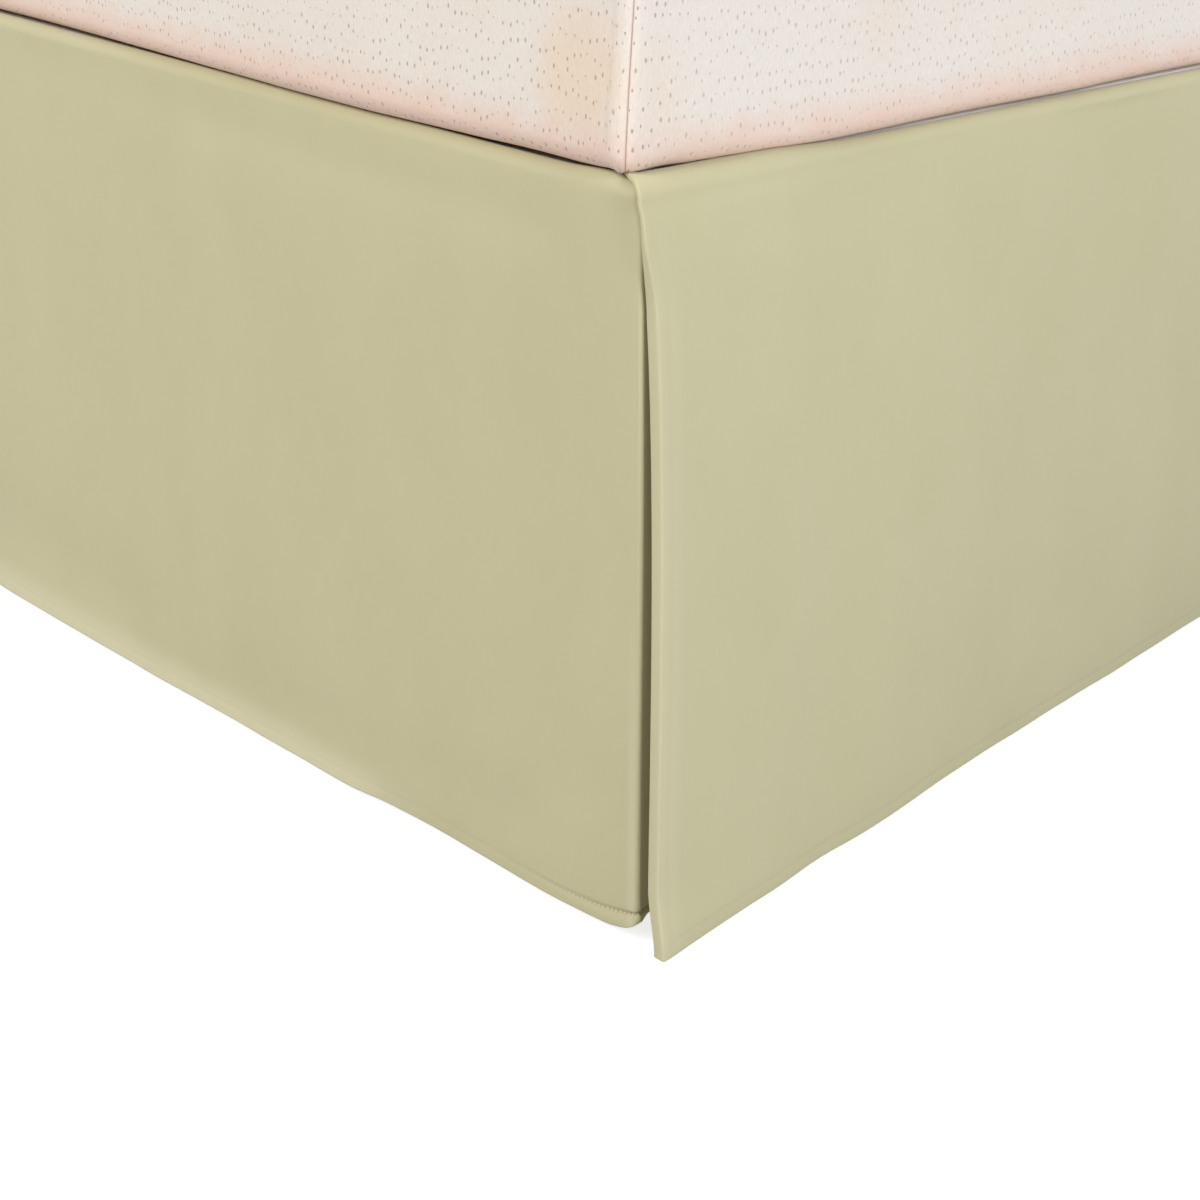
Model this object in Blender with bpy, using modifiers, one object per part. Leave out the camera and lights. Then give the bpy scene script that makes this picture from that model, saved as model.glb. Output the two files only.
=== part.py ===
"""A tailored bed skirt hung over the foundation of a bed, under its mattress.

Metres, +Z up. The origin is on the floor under the middle of the skirt's outline. The foot
of the bed is towards -Y and its head towards +Y. The skirt has a foot drop and two side
drops sewn to a deck. At each foot corner the foot drop turns round the corner and runs on
behind the side drop, whose end is folded back on itself to close the pleat.
"""

import math
from collections import namedtuple

import bmesh
import bpy
import numpy as np

# Bed: a queen mattress on a foundation with six legs
MATTRESS_WIDTH = 1.524
MATTRESS_LENGTH = 2.032
MATTRESS_HEIGHT = 0.254
MATTRESS_CORNER_RADIUS = 0.012  # in plan
MATTRESS_LOWER_RADIUS = 0.011
MATTRESS_UPPER_RADIUS = 0.022
MATTRESS_LEAST_RADIUS = 0.001  # in plan, where the rounding is wider than the corner
MATTRESS_STEPS = 4
MATTRESS_PAST_FOOT = 0.001  # of its wall, past the plane in which the skirt hangs
MATTRESS_INSIDE_SIDE = 0.0018  # of its walls, inside the planes in which the skirt hangs
MATTRESS_INSIDE_HEAD = 0.003
FOUNDATION_HEIGHT = 0.229
FOUNDATION_EDGE_RADIUS = 0.004
FOUNDATION_CORNER_RADIUS = 0.012
FOUNDATION_STEPS = 4
LEG_HEIGHT = 0.152
LEG_RADIUS = 0.025
LEG_INSET = 0.090
HEADWARD_SHIFT = 0.016  # centres the outline, because the foot drop swings out

# Cloth
CLOTH = 0.0012
HEM_THICKNESS = 0.0022
DECK_THICKNESS = 0.0010
DECK_CORNER_RADIUS = 0.003
DECK_CORNER_STEPS = 2
DECK_HEAD_MARGIN = 0.012
GAP = 0.0003  # between pieces that touch
PLEAT_GAP = 0.0005  # between the foot drop's return and the side drop's folded end
EDGE_CLEARANCE = 0.002  # between the cloth and the edge that it falls over
HEM_WIDTH = 0.008
HEM_BLEND = 0.002
FOOT_HEM_HEIGHT = 0.006
SIDE_HEM_HEIGHT = 0.004
FLAT_RUN = 0.006  # from the shoulder to the seam, on top of the foundation

# Places worked out from the sizes above. Each drop hangs in an upright plane close to the
# mattress's wall, and "out" below is a distance outward from that plane.
SKIRT_WIDTH = MATTRESS_WIDTH + 2 * MATTRESS_INSIDE_SIDE
SKIRT_LENGTH = MATTRESS_LENGTH - MATTRESS_PAST_FOOT + MATTRESS_INSIDE_HEAD
HALF_WIDTH = SKIRT_WIDTH / 2
FOOT_Y = HEADWARD_SHIFT - SKIRT_LENGTH / 2
HEAD_Y = HEADWARD_SHIFT + SKIRT_LENGTH / 2
FOUNDATION_TOP = LEG_HEIGHT + FOUNDATION_HEIGHT
FOUNDATION_INSET = EDGE_CLEARANCE + CLOTH
SHOULDER_RADIUS = FOUNDATION_EDGE_RADIUS + EDGE_CLEARANCE
SHOULDER_OUT = -FOUNDATION_INSET - FOUNDATION_EDGE_RADIUS
SHOULDER_Z = FOUNDATION_TOP - FOUNDATION_EDGE_RADIUS
SEAM_OUT = SHOULDER_OUT - FLAT_RUN

# Pleat at each foot corner. A layer's lift is how far its outer face lies outside the inner
# face of the innermost layer.
PLEAT_DEPTH = 0.085
INNER_LIFT = CLOTH
MIDDLE_LIFT = INNER_LIFT + PLEAT_GAP  # of the face that looks inward
OUTER_LIFT = MIDDLE_LIFT + GAP + 2 * CLOTH
LIFT_ENDS = 0.150  # from the foot, where the side drop lies against the foundation again
PLEAT_COLUMNS = (0.032, 0.055, PLEAT_DEPTH)  # from the foot, on both layers of the pleat
NEAR_CORNER = (0.0, 0.006, 0.014, 0.026, 0.048)  # columns of the foot drop, from its corner arc
COLUMN_PAST_PLEAT = 0.115
FOLD_ROLL = 0.0055  # how much the folded end opens below the top
FOLD_OPEN_BY = 0.14  # share of the drop by which it has opened
FOLD_PLACE_TOP = 0.0016  # from the foot, where the folded end starts to turn back
FOLD_PLACE_HEM = 0.0060
FOLD_PLACE_FROM = 0.03  # share of the drop at which it leaves the upper place
FOLD_PLACE_BY = 0.17  # share of the drop by which it has come to the lower place
FOLD_DEPTH_OPEN = 0.0034
FOLD_SQUARENESS = 2.6  # added to the power of a round fold once it has opened
FOLD_MITRE = 0.45  # how fast the folded end draws back over the shoulder
CORNER_RADIUS_TOP = 0.0045  # sharper than the foundation's corner, which it stands clear of
CORNER_RADIUS_UPPER = 0.0026
CORNER_RADIUS_HEM = 0.0035
CORNER_RADIUS_SEAM = 0.002
UPPER_SHARE = 0.05  # share of the drop by which the corner is at its sharpest

# How far the mattress's lower edge stands over its bottom, by the distance from a foot corner
# along the foot or along a side. It is higher where it lies on the pleats.
Rise = namedtuple("Rise", "along rise")
FOOT_EDGE = (
    Rise(0.000, 0.0054),
    Rise(0.024, 0.0054),
    Rise(0.050, 0.0038),
    Rise(0.085, 0.0031),
    Rise(0.150, 0.0020),
)
SIDE_EDGE = (
    Rise(0.000, 0.0054),
    Rise(0.050, 0.0054),
    Rise(0.095, 0.0054),
    Rise(0.125, 0.0036),
    Rise(0.160, 0.0020),
)
EDGE_FLATTENS = 0.022  # from the lower rounding inward to the flat bottom
UNDER_INSETS = (0.034, EDGE_FLATTENS, 0.011, 0.005)  # from the lower rounding inward
PLACES_ON_FOOT = (0.050, 0.085, 0.150)  # from a foot corner, where the edge's rise changes
PLACES_ON_SIDE = (0.050, 0.095, 0.125, 0.160)

# How the cloth hangs. "along" is a distance from the right foot corner for the foot drop, and
# from the foot for a side drop. "swing" is how far the hem stands out, "belly" how far the
# middle stands out over a straight slope, and "flick" how far the last of it turns out.
Station = namedtuple("Station", "along swing belly flick")
FOOT_STATIONS = (
    Station(0.000, -0.0040, 0.0000, 0.0000),
    Station(0.040, 0.0015, 0.0010, -0.0005),
    Station(0.130, 0.0065, 0.0025, -0.0013),
    Station(0.200, 0.0115, 0.0025, -0.0010),
    Station(0.345, 0.0200, 0.0010, 0.0007),
    Station(0.430, 0.0242, 0.0000, 0.0022),
    Station(0.570, 0.0289, -0.0010, 0.0030),
    Station(0.750, 0.0235, 0.0010, 0.0020),
    Station(0.930, 0.0120, 0.0035, 0.0000),
    Station(1.110, 0.0190, 0.0010, 0.0020),
    Station(1.280, 0.0150, 0.0025, 0.0000),
    Station(1.440, 0.0020, 0.0015, -0.0005),
    Station(SKIRT_WIDTH, -0.0030, 0.0000, 0.0000),
)
RIGHT_STATIONS = (
    Station(0.000, 0.0265, 0.0076, 0.0052),
    Station(0.050, 0.0255, 0.0066, 0.0020),
    Station(0.110, 0.0237, 0.0055, 0.0010),
    Station(0.190, 0.0230, 0.0042, 0.0003),
    Station(0.270, 0.0174, 0.0032, 0.0000),
    Station(0.360, 0.0118, 0.0024, 0.0000),
    Station(0.450, 0.0088, 0.0018, 0.0000),
    Station(0.560, 0.0029, 0.0015, 0.0000),
    Station(0.780, 0.0100, 0.0005, 0.0010),
    Station(1.020, 0.0045, 0.0025, 0.0000),
    Station(1.270, 0.0150, 0.0000, 0.0015),
    Station(1.520, 0.0060, 0.0020, 0.0000),
    Station(1.780, 0.0125, 0.0005, 0.0010),
    Station(SKIRT_LENGTH, 0.0080, 0.0010, 0.0000),
)
LEFT_STATIONS = (
    Station(0.000, 0.0258, 0.0077, 0.0050),
    Station(0.060, 0.0244, 0.0064, 0.0018),
    Station(0.130, 0.0210, 0.0050, 0.0008),
    Station(0.240, 0.0150, 0.0035, 0.0000),
    Station(0.370, 0.0080, 0.0020, 0.0000),
    Station(0.600, 0.0130, 0.0010, 0.0010),
    Station(0.870, 0.0040, 0.0025, 0.0000),
    Station(1.120, 0.0110, 0.0000, 0.0010),
    Station(1.400, 0.0055, 0.0020, 0.0000),
    Station(1.690, 0.0140, 0.0005, 0.0015),
    Station(SKIRT_LENGTH, 0.0070, 0.0010, 0.0000),
)
# The foot drop's return behind each side drop: out at the fold, and in towards the seam
RETURN_STATIONS = (
    Station(0.000, 0.0140, 0.0026, 0.0000),
    Station(0.014, 0.0134, 0.0024, 0.0000),
    Station(0.034, 0.0085, 0.0010, 0.0000),
    Station(PLEAT_DEPTH, 0.0090, 0.0000, 0.0000),
)
# How far the pleat draws the foot drop's hem up. "along" is the distance from the corner, and
# minus round it. The edge and the top of the hem's fold are drawn up by different amounts.
Drawn = namedtuple("Drawn", "along edge fold")
DRAWN_UP = (
    Drawn(-0.0950, 0.0000, 0.0000),
    Drawn(-0.0600, 0.0070, 0.0045),
    Drawn(-0.0300, 0.0135, 0.0085),
    Drawn(-0.0205, 0.0130, 0.0085),
    Drawn(-0.0155, 0.0115, 0.0076),
    Drawn(-0.0130, 0.0085, 0.0066),
    Drawn(-0.0104, 0.0061, 0.0055),
    Drawn(-0.0060, 0.0034, 0.0042),
    Drawn(-0.0020, 0.0018, 0.0030),
    Drawn(0.0050, 0.0003, 0.0017),
    Drawn(0.0130, 0.0000, 0.0008),
    Drawn(0.0280, 0.0000, 0.0001),
    Drawn(0.0450, 0.0000, 0.0000),
)
DRAWN_FADES = 0.10  # height over the hem's fold at which nothing is drawn up
BELLY_POWER = 0.6  # below 1, so that a belly is fullest in the upper half
FLICK_STARTS = 0.9  # share of the drop
ROUND_POWER = 2  # a round fold's outline in plan is a superellipse of this power

# Rows of each drop's grid, from the hem up to the seam. "share" goes up from 0 at the hem on
# the hanging part, and is the share of a quarter turn or of the flat run on the others.
Row = namedtuple("Row", "zone share")
HANGING_SHARES = (0.055, 0.10, 0.17, 0.27, 0.39, 0.52, 0.65, 0.77, 0.87, 0.95, 1.0)
SHOULDER_STEPS = 5
FLAT_STEPS = 3

LEG_SIDES = 20
SMOOTH_BELOW = math.radians(40)
QUARTER_TURN = math.radians(90)


# ---------------------------------------------------------------- helpers


def eased(share):
    """0 to 1 with no slope at either end."""
    share = min(max(share, 0.0), 1.0)
    return share * share * (3.0 - 2.0 * share)


def between(low, high, share):
    return low + (high - low) * share


def at_station(stations, column, along):
    """A column of a station table at any distance, on a smooth curve through its rows."""
    knots = np.array([station.along for station in stations])
    values = np.array([station._asdict()[column] for station in stations])
    slopes = np.gradient(values, knots)
    along = float(np.clip(along, knots[0], knots[-1]))
    i = int(np.clip(np.searchsorted(knots, along) - 1, 0, len(knots) - 2))
    span = knots[i + 1] - knots[i]
    t = (along - knots[i]) / span
    return float(
        values[i] * (1 + 2 * t) * (1 - t) ** 2
        + values[i + 1] * t * t * (3 - 2 * t)
        + span * slopes[i] * t * (1 - t) ** 2
        - span * slopes[i + 1] * t * t * (1 - t)
    )


def hang_out(stations, along, down):
    """How far out the cloth hangs at a share down the drop, 0 at the top and 1 at the hem."""
    swing = at_station(stations, "swing", along) * down
    belly = at_station(stations, "belly", along) * math.sin(math.pi * down**BELLY_POWER)
    flick_share = (down - FLICK_STARTS) / (1 - FLICK_STARTS)
    return swing + belly + at_station(stations, "flick", along) * eased(flick_share)


def drop_rows(hem_height):
    """The rows of a drop, with two more rows where the hem's fold ends."""
    height = SHOULDER_Z - hem_height
    hem = (0.0, HEM_WIDTH / height, (HEM_WIDTH + HEM_BLEND) / height)
    rows = [Row("hanging", share) for share in hem + HANGING_SHARES]
    rows += [Row("shoulder", (i + 1) / SHOULDER_STEPS) for i in range(SHOULDER_STEPS)]
    rows += [Row("flat", (i + 1) / FLAT_STEPS) for i in range(FLAT_STEPS)]
    return rows


def row_out(row, lift, hang):
    """How far outward a row lies, for a layer with this lift that hangs this far out."""
    if row.zone == "hanging":
        return SHOULDER_OUT + SHOULDER_RADIUS + lift + hang
    if row.zone == "shoulder":
        turn = math.cos(QUARTER_TURN * row.share)
        return SHOULDER_OUT + (SHOULDER_RADIUS + lift) * turn
    return between(SHOULDER_OUT, SEAM_OUT, row.share)


def row_height(row, lift, hem_height, x, y):
    """How high a row lies. On the flat run the cloth comes down to the foundation."""
    if row.zone == "hanging":
        return between(hem_height, SHOULDER_Z, row.share)
    if row.zone == "shoulder":
        turn = math.sin(QUARTER_TURN * row.share)
        return SHOULDER_Z + (SHOULDER_RADIUS + lift) * turn
    inward = min(HALF_WIDTH - abs(x), y - FOOT_Y)
    settled = eased((inward + SHOULDER_OUT) / (SHOULDER_OUT - SEAM_OUT))
    return FOUNDATION_TOP + between(EDGE_CLEARANCE, GAP, settled) + lift


def row_down(row):
    """Share of the way down the hanging part, 0 on the shoulder and the flat run."""
    return 1.0 - row.share if row.zone == "hanging" else 0.0


def material(name, colour, roughness):
    made = bpy.data.materials.new(name)
    made.use_nodes = True
    shader = made.node_tree.nodes["Principled BSDF"]
    shader.inputs["Base Color"].default_value = (*colour, 1.0)
    shader.inputs["Roughness"].default_value = roughness
    shader.inputs["Metallic"].default_value = 0.0
    return made


def add_object(name, mesh, finish, collection):
    made = bpy.data.objects.new(name, mesh)
    made.data.materials.append(finish)
    made.data.shade_smooth()
    made.data.set_sharp_from_angle(angle=SMOOTH_BELOW)
    collection.objects.link(made)
    return made


# ---------------------------------------------------------------- the skirt


def draped_sheet(name, columns, hem_height, place, finish, collection, mirrored=False):
    """A grid laid where place(column, row) says, with its outer face up, and then given the
    cloth's thickness inward and twice that along the hem."""
    rows = drop_rows(hem_height)
    across = len(columns) - 1
    up = len(rows) - 1
    grid = bmesh.new()
    bmesh.ops.create_grid(grid, x_segments=across, y_segments=up, size=1.0)
    hem_rows = {}
    for vertex in grid.verts:
        column = columns[round((vertex.co.x + 1) / 2 * across)]
        row_index = round((vertex.co.y + 1) / 2 * up)
        vertex.co = place(column, rows[row_index])
        hem_rows[vertex.index] = row_index < 2
    if mirrored:
        bmesh.ops.scale(grid, vec=(-1, 1, 1), verts=grid.verts)
        bmesh.ops.reverse_faces(grid, faces=grid.faces)
    mesh = bpy.data.meshes.new(name)
    grid.to_mesh(mesh)
    grid.free()
    sheet = add_object(name, mesh, finish, collection)
    hem = sheet.vertex_groups.new(name="hem")
    hem.add([index for index, in_hem in hem_rows.items() if in_hem], 1.0, "REPLACE")
    solidify = sheet.modifiers.new("Cloth thickness", "SOLIDIFY")
    solidify.thickness = HEM_THICKNESS
    solidify.vertex_group = hem.name
    solidify.thickness_vertex_group = CLOTH / HEM_THICKNESS
    solidify.offset = -1
    solidify.use_even_offset = True


def corner_radius(row):
    """The foot drop's radius in plan as it turns the corner: sharpest a little way down."""
    if row.zone != "hanging":
        out = row_out(row, INNER_LIFT, 0.0)
        return max(CORNER_RADIUS_SEAM, CORNER_RADIUS_TOP + out)
    down = row_down(row)
    if down < UPPER_SHARE:
        share = eased(down / UPPER_SHARE)
        return between(CORNER_RADIUS_TOP, CORNER_RADIUS_UPPER, share)
    share = (down - UPPER_SHARE) / (1 - UPPER_SHARE)
    return between(CORNER_RADIUS_UPPER, CORNER_RADIUS_HEM, share)


def foot_columns():
    """Columns from the left return's end round the foot to the right return's end."""
    return_steps, corner_steps, foot_steps = 4, 5, 25
    near = [far / SKIRT_WIDTH for far in NEAR_CORNER]
    step = (1 - 2 * near[-1]) / foot_steps
    spread = [near[-1] + i * step for i in range(1, foot_steps)]
    shares = near + spread + [1 - share for share in reversed(near)]
    columns = [("return", -1, 1 - i / return_steps) for i in range(return_steps)]
    columns += [("corner", -1, 1 - i / corner_steps) for i in range(corner_steps)]
    columns += [("foot", 0, share) for share in shares]
    columns += [("corner", 1, (i + 1) / corner_steps) for i in range(corner_steps)]
    columns += [("return", 1, (i + 1) / return_steps) for i in range(return_steps)]
    return columns


def plan_foot(column, row):
    """Where a grid point of the foot drop goes in plan, and how far behind the corner it is."""
    zone, side, share = column
    behind = 0.0
    down = row_down(row)
    radius = corner_radius(row)
    level = row_out(row, INNER_LIFT, 0.0)

    def return_out(along):
        return level + hang_out(RETURN_STATIONS, along, down)

    if zone == "foot":
        reach = HALF_WIDTH + return_out(0.0) - radius
        x = between(-reach, reach, share)
        y = FOOT_Y - level - hang_out(FOOT_STATIONS, HALF_WIDTH - x, down)
    else:
        start = 0.0 if side > 0 else SKIRT_WIDTH
        foot_out = level + hang_out(FOOT_STATIONS, start, down)
        centre_y = FOOT_Y - foot_out + radius
        centre_x = HALF_WIDTH + return_out(0.0) - radius
        if zone == "corner":
            angle = QUARTER_TURN * (share - 1)
            x = side * (centre_x + radius * math.cos(angle))
            y = centre_y + radius * math.sin(angle)
        else:
            y = between(centre_y, FOOT_Y + PLEAT_DEPTH, share)
            x = side * (HALF_WIDTH + return_out(y - FOOT_Y))
            behind = y - centre_y
    return x, y, behind


def place_foot(column, row):
    """Where a grid point of the foot drop goes. The pleat draws the hem up round the corner."""
    x, y, _ = plan_foot(column, row)
    height = row_height(row, INNER_LIFT, FOOT_HEM_HEIGHT, x, y)
    if row.zone != "hanging":
        return x, y, height
    hem_x, _, behind = plan_foot(column, Row("hanging", 0.0))
    along = HALF_WIDTH - abs(hem_x) - behind
    edge = at_station(DRAWN_UP, "edge", along)
    fold = at_station(DRAWN_UP, "fold", along)
    over_edge = height - FOOT_HEM_HEIGHT
    drawn = between(edge, fold, eased(over_edge / HEM_WIDTH))
    drawn *= 1 - eased((over_edge - HEM_WIDTH) / DRAWN_FADES)
    return x, y, height + drawn


def side_columns():
    """Columns from the pleat's hidden seam to the fold, round it, and on to the head. The
    value is a distance from the foot, or on the fold a share of its half turn."""
    fold_steps, side_steps = 6, 24
    flat_end = -SHOULDER_OUT
    seam_start = -SEAM_OUT
    over_foot = (flat_end, between(flat_end, seam_start, 0.5), seam_start)
    pleat = over_foot + PLEAT_COLUMNS
    beyond = tuple(between(LIFT_ENDS, SKIRT_LENGTH, i / side_steps) for i in range(side_steps + 1))
    columns = [("back", along) for along in reversed(pleat)]
    columns += [("fold", i / fold_steps) for i in range(fold_steps + 1)]
    columns += [("outside", along) for along in pleat + (COLUMN_PAST_PLEAT,) + beyond]
    return columns


def place_side(stations):
    """Returns the function that places the grid points of a side drop, on the right side."""

    def place(column, row):
        zone, along = column
        down = row_down(row)
        opening = eased(down / FOLD_OPEN_BY)
        opened = FOLD_ROLL * opening
        drawn_back = FOLD_MITRE * max(0.0, -row_out(row, INNER_LIFT, 0.0))
        placed = eased((down - FOLD_PLACE_FROM) / (FOLD_PLACE_BY - FOLD_PLACE_FROM))
        fold_along = between(FOLD_PLACE_TOP + drawn_back, FOLD_PLACE_HEM, placed)
        outer_hang = hang_out(stations, fold_along, down)
        if zone == "back":
            hidden = eased((along - fold_along) / (PLEAT_DEPTH - fold_along))
            seam_hang = hang_out(RETURN_STATIONS, PLEAT_DEPTH, down)
            lift = MIDDLE_LIFT
            hang = between(outer_hang - opened, seam_hang, hidden)
        elif zone == "fold":
            turn = math.pi * column[1]
            power = 2 / (ROUND_POWER + FOLD_SQUARENESS * opening)
            width = OUTER_LIFT - MIDDLE_LIFT
            depth = between(width / 2, FOLD_DEPTH_OPEN, opening)
            swung = (1 - math.copysign(abs(math.cos(turn)) ** power, math.cos(turn))) / 2
            along = fold_along - depth * abs(math.sin(turn)) ** power
            lift = MIDDLE_LIFT + width * swung
            hang = outer_hang - opened * (1 - swung)
        else:
            leaving = (along - PLEAT_DEPTH) / (LIFT_ENDS - PLEAT_DEPTH)
            lift = between(OUTER_LIFT, INNER_LIFT, eased(leaving))
            hang = hang_out(stations, along, down)
        x = HALF_WIDTH + row_out(row, lift, hang)
        y = FOOT_Y + along
        return x, y, row_height(row, lift, SIDE_HEM_HEIGHT, x, y)

    return place


def make_deck(finish, collection):
    """The flat sheet under the mattress, from seam to seam and almost to the head edge."""
    half = HALF_WIDTH + SEAM_OUT - GAP
    foot = FOOT_Y - SEAM_OUT + GAP
    head = HEAD_Y - DECK_HEAD_MARGIN
    size = (2 * half, head - foot, DECK_THICKNESS)
    centre = (0, (foot + head) / 2, FOUNDATION_TOP + GAP + DECK_THICKNESS / 2)
    deck = make_block("skirt_deck", size, centre, finish, collection)
    round_edges(deck.data, is_upright, DECK_CORNER_RADIUS, DECK_CORNER_STEPS)


# ---------------------------------------------------------------- the bed


def make_block(name, size, centre, finish, collection):
    """A box of this size about this centre."""
    box = bmesh.new()
    bmesh.ops.create_cube(box, size=1.0)
    bmesh.ops.scale(box, vec=size, verts=box.verts)
    mesh = bpy.data.meshes.new(name)
    box.to_mesh(mesh)
    box.free()
    made = add_object(name, mesh, finish, collection)
    made.location = centre
    return made


def round_edges(mesh, wanted, radius, segments):
    """Rounds the edges of a mesh for which wanted(edge) is true."""
    solid = bmesh.new()
    solid.from_mesh(mesh)
    bmesh.ops.bevel(
        solid,
        geom=[edge for edge in solid.edges if wanted(edge)],
        offset=radius,
        segments=segments,
        profile=0.5,
        affect="EDGES",
    )
    solid.to_mesh(mesh)
    solid.free()


def is_upright(edge):
    """True for a box's four vertical edges."""
    low, high = edge.verts
    return abs(low.co.z - high.co.z) > GAP and abs(low.co.x - high.co.x) < GAP


def mattress_plan():
    """Places round the mattress, anticlockwise from the right foot corner: the signs of the
    corner, how far past it along the straight edge that follows or comes before, and the angle
    of the outward normal. A place with no distance is on the corner's arc."""
    arc = [QUARTER_TURN * i / MATTRESS_STEPS for i in range(MATTRESS_STEPS + 1)]
    down_side = tuple(reversed(PLACES_ON_SIDE))
    before_right = tuple(reversed(PLACES_ON_FOOT))
    plan = [(1, -1, 0.0, 0.0, turn - QUARTER_TURN) for turn in arc]
    plan += [(1, -1, 0.0, far, 0.0) for far in PLACES_ON_SIDE]
    plan += [(1, 1, 0.0, 0.0, turn) for turn in arc]
    plan += [(-1, 1, 0.0, 0.0, turn + QUARTER_TURN) for turn in arc]
    plan += [(-1, -1, 0.0, far, 2 * QUARTER_TURN) for far in down_side]
    plan += [(-1, -1, 0.0, 0.0, turn + 2 * QUARTER_TURN) for turn in arc]
    plan += [(-1, -1, far, 0.0, 3 * QUARTER_TURN) for far in PLACES_ON_FOOT]
    plan += [(1, -1, far, 0.0, 3 * QUARTER_TURN) for far in before_right]
    return plan


def mattress_point(place, inset):
    """A point in plan at this inset from the mattress's wall."""
    sign_x, sign_y, past_x, past_y, angle = place
    radius = max(MATTRESS_CORNER_RADIUS - inset, MATTRESS_LEAST_RADIUS)
    low_y = FOOT_Y - MATTRESS_PAST_FOOT
    centre_y = low_y + MATTRESS_LENGTH / 2
    x = sign_x * (MATTRESS_WIDTH / 2 - inset - radius) + radius * math.cos(angle)
    y = centre_y + sign_y * (MATTRESS_LENGTH / 2 - inset - radius) + radius * math.sin(angle)
    if past_x:
        x = sign_x * (MATTRESS_WIDTH / 2 - past_x)
    if past_y:
        y = low_y + past_y
    return x, y


def edge_rise(x, y):
    """How far the mattress's lower edge stands over its bottom at a place in plan."""
    across = MATTRESS_WIDTH / 2 - abs(x)
    along = y - (FOOT_Y - MATTRESS_PAST_FOOT)
    if across < along:
        return at_station(SIDE_EDGE, "rise", along)
    return at_station(FOOT_EDGE, "rise", across)


def make_mattress(finish, collection):
    """Rings round a profile: flat bottom, raised edge, lower rounding, wall, upper rounding."""
    bottom = FOUNDATION_TOP + GAP + DECK_THICKNESS + GAP
    top = bottom + MATTRESS_HEIGHT
    lower, upper = MATTRESS_LOWER_RADIUS, MATTRESS_UPPER_RADIUS
    turns = [QUARTER_TURN * i / MATTRESS_STEPS for i in range(MATTRESS_STEPS + 1)]
    levels = [(lower + inset, bottom, 1 - eased(inset / EDGE_FLATTENS)) for inset in UNDER_INSETS]
    for turn in turns:
        levels.append((lower * (1 - math.sin(turn)), bottom + lower * (1 - math.cos(turn)), 1.0))
    for turn in reversed(turns):
        levels.append((upper * (1 - math.sin(turn)), top - upper * (1 - math.cos(turn)), 0.0))
    solid = bmesh.new()
    rings = []
    for inset, height, raised in levels:
        ring = []
        for place in mattress_plan():
            x, y = mattress_point(place, inset)
            ring.append(solid.verts.new((x, y, height + raised * edge_rise(x, y))))
        rings.append(ring)
    for below, above in zip(rings, rings[1:]):
        for i, vertex in enumerate(below):
            j = (i + 1) % len(below)
            solid.faces.new((vertex, below[j], above[j], above[i]))
    solid.faces.new(reversed(rings[0]))
    solid.faces.new(rings[-1])
    mesh = bpy.data.meshes.new("mattress")
    solid.to_mesh(mesh)
    solid.free()
    add_object("mattress", mesh, finish, collection)


def make_foundation(finish, collection):
    width = SKIRT_WIDTH - 2 * FOUNDATION_INSET
    length = SKIRT_LENGTH - 2 * FOUNDATION_INSET
    centre = (0, HEADWARD_SHIFT, LEG_HEIGHT + FOUNDATION_HEIGHT / 2)
    size = (width, length, FOUNDATION_HEIGHT)
    foundation = make_block("foundation", size, centre, finish, collection)

    def on_top_rim(edge):
        top = FOUNDATION_HEIGHT / 2 - GAP
        rim = len({face.normal.z > 0.5 for face in edge.link_faces}) == 2
        return rim and all(vertex.co.z > top for vertex in edge.verts)

    round_edges(foundation.data, is_upright, FOUNDATION_CORNER_RADIUS, FOUNDATION_STEPS)
    round_edges(foundation.data, on_top_rim, FOUNDATION_EDGE_RADIUS, FOUNDATION_STEPS)


def make_legs(finish, collection):
    """Six round legs: one near each corner and one halfway along each side."""
    height = LEG_HEIGHT - GAP
    run = SKIRT_LENGTH / 2 - LEG_INSET
    places = {"foot": -run, "middle": 0.0, "head": run}
    for side_name, side in (("right", 1), ("left", -1)):
        for place_name, along in places.items():
            bpy.ops.mesh.primitive_cylinder_add(
                vertices=LEG_SIDES, radius=LEG_RADIUS, depth=height
            )
            leg = bpy.context.object
            leg.name = f"leg_{place_name}_{side_name}"
            leg.location = (
                side * (HALF_WIDTH - LEG_INSET),
                HEADWARD_SHIFT + along,
                height / 2,
            )
            leg.data.materials.append(finish)
            leg.data.shade_smooth()
            leg.data.set_sharp_from_angle(angle=SMOOTH_BELOW)
            for holder in leg.users_collection:
                holder.objects.unlink(leg)
            collection.objects.link(leg)


def clear_scene():
    for old in list(bpy.data.objects):
        bpy.data.objects.remove(old)


def main():
    clear_scene()
    collection = bpy.data.collections.new("Bed_skirt_on_bed")
    bpy.context.scene.collection.children.link(collection)
    sage = material("Sage microfibre", (0.537, 0.509, 0.323), 0.85)
    backing = material("White backing cloth", (0.80, 0.79, 0.76), 0.9)
    ticking = material("Knit ticking", (0.80, 0.73, 0.66), 0.9)
    base_cloth = material("Base cloth", (0.62, 0.58, 0.52), 0.9)
    wood = material("Plain wood", (0.42, 0.29, 0.18), 0.55)
    hem = FOOT_HEM_HEIGHT
    draped_sheet("skirt_foot_drop", foot_columns(), hem, place_foot, sage, collection)
    for name, stations, mirrored in (
        ("skirt_side_drop_right", RIGHT_STATIONS, False),
        ("skirt_side_drop_left", LEFT_STATIONS, True),
    ):
        place = place_side(stations)
        hem = SIDE_HEM_HEIGHT
        draped_sheet(name, side_columns(), hem, place, sage, collection, mirrored)
    make_deck(backing, collection)
    make_mattress(ticking, collection)
    make_foundation(base_cloth, collection)
    make_legs(wood, collection)


main()
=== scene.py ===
import math

import bmesh
import bpy
import numpy as np
from mathutils import Matrix, Vector


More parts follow.
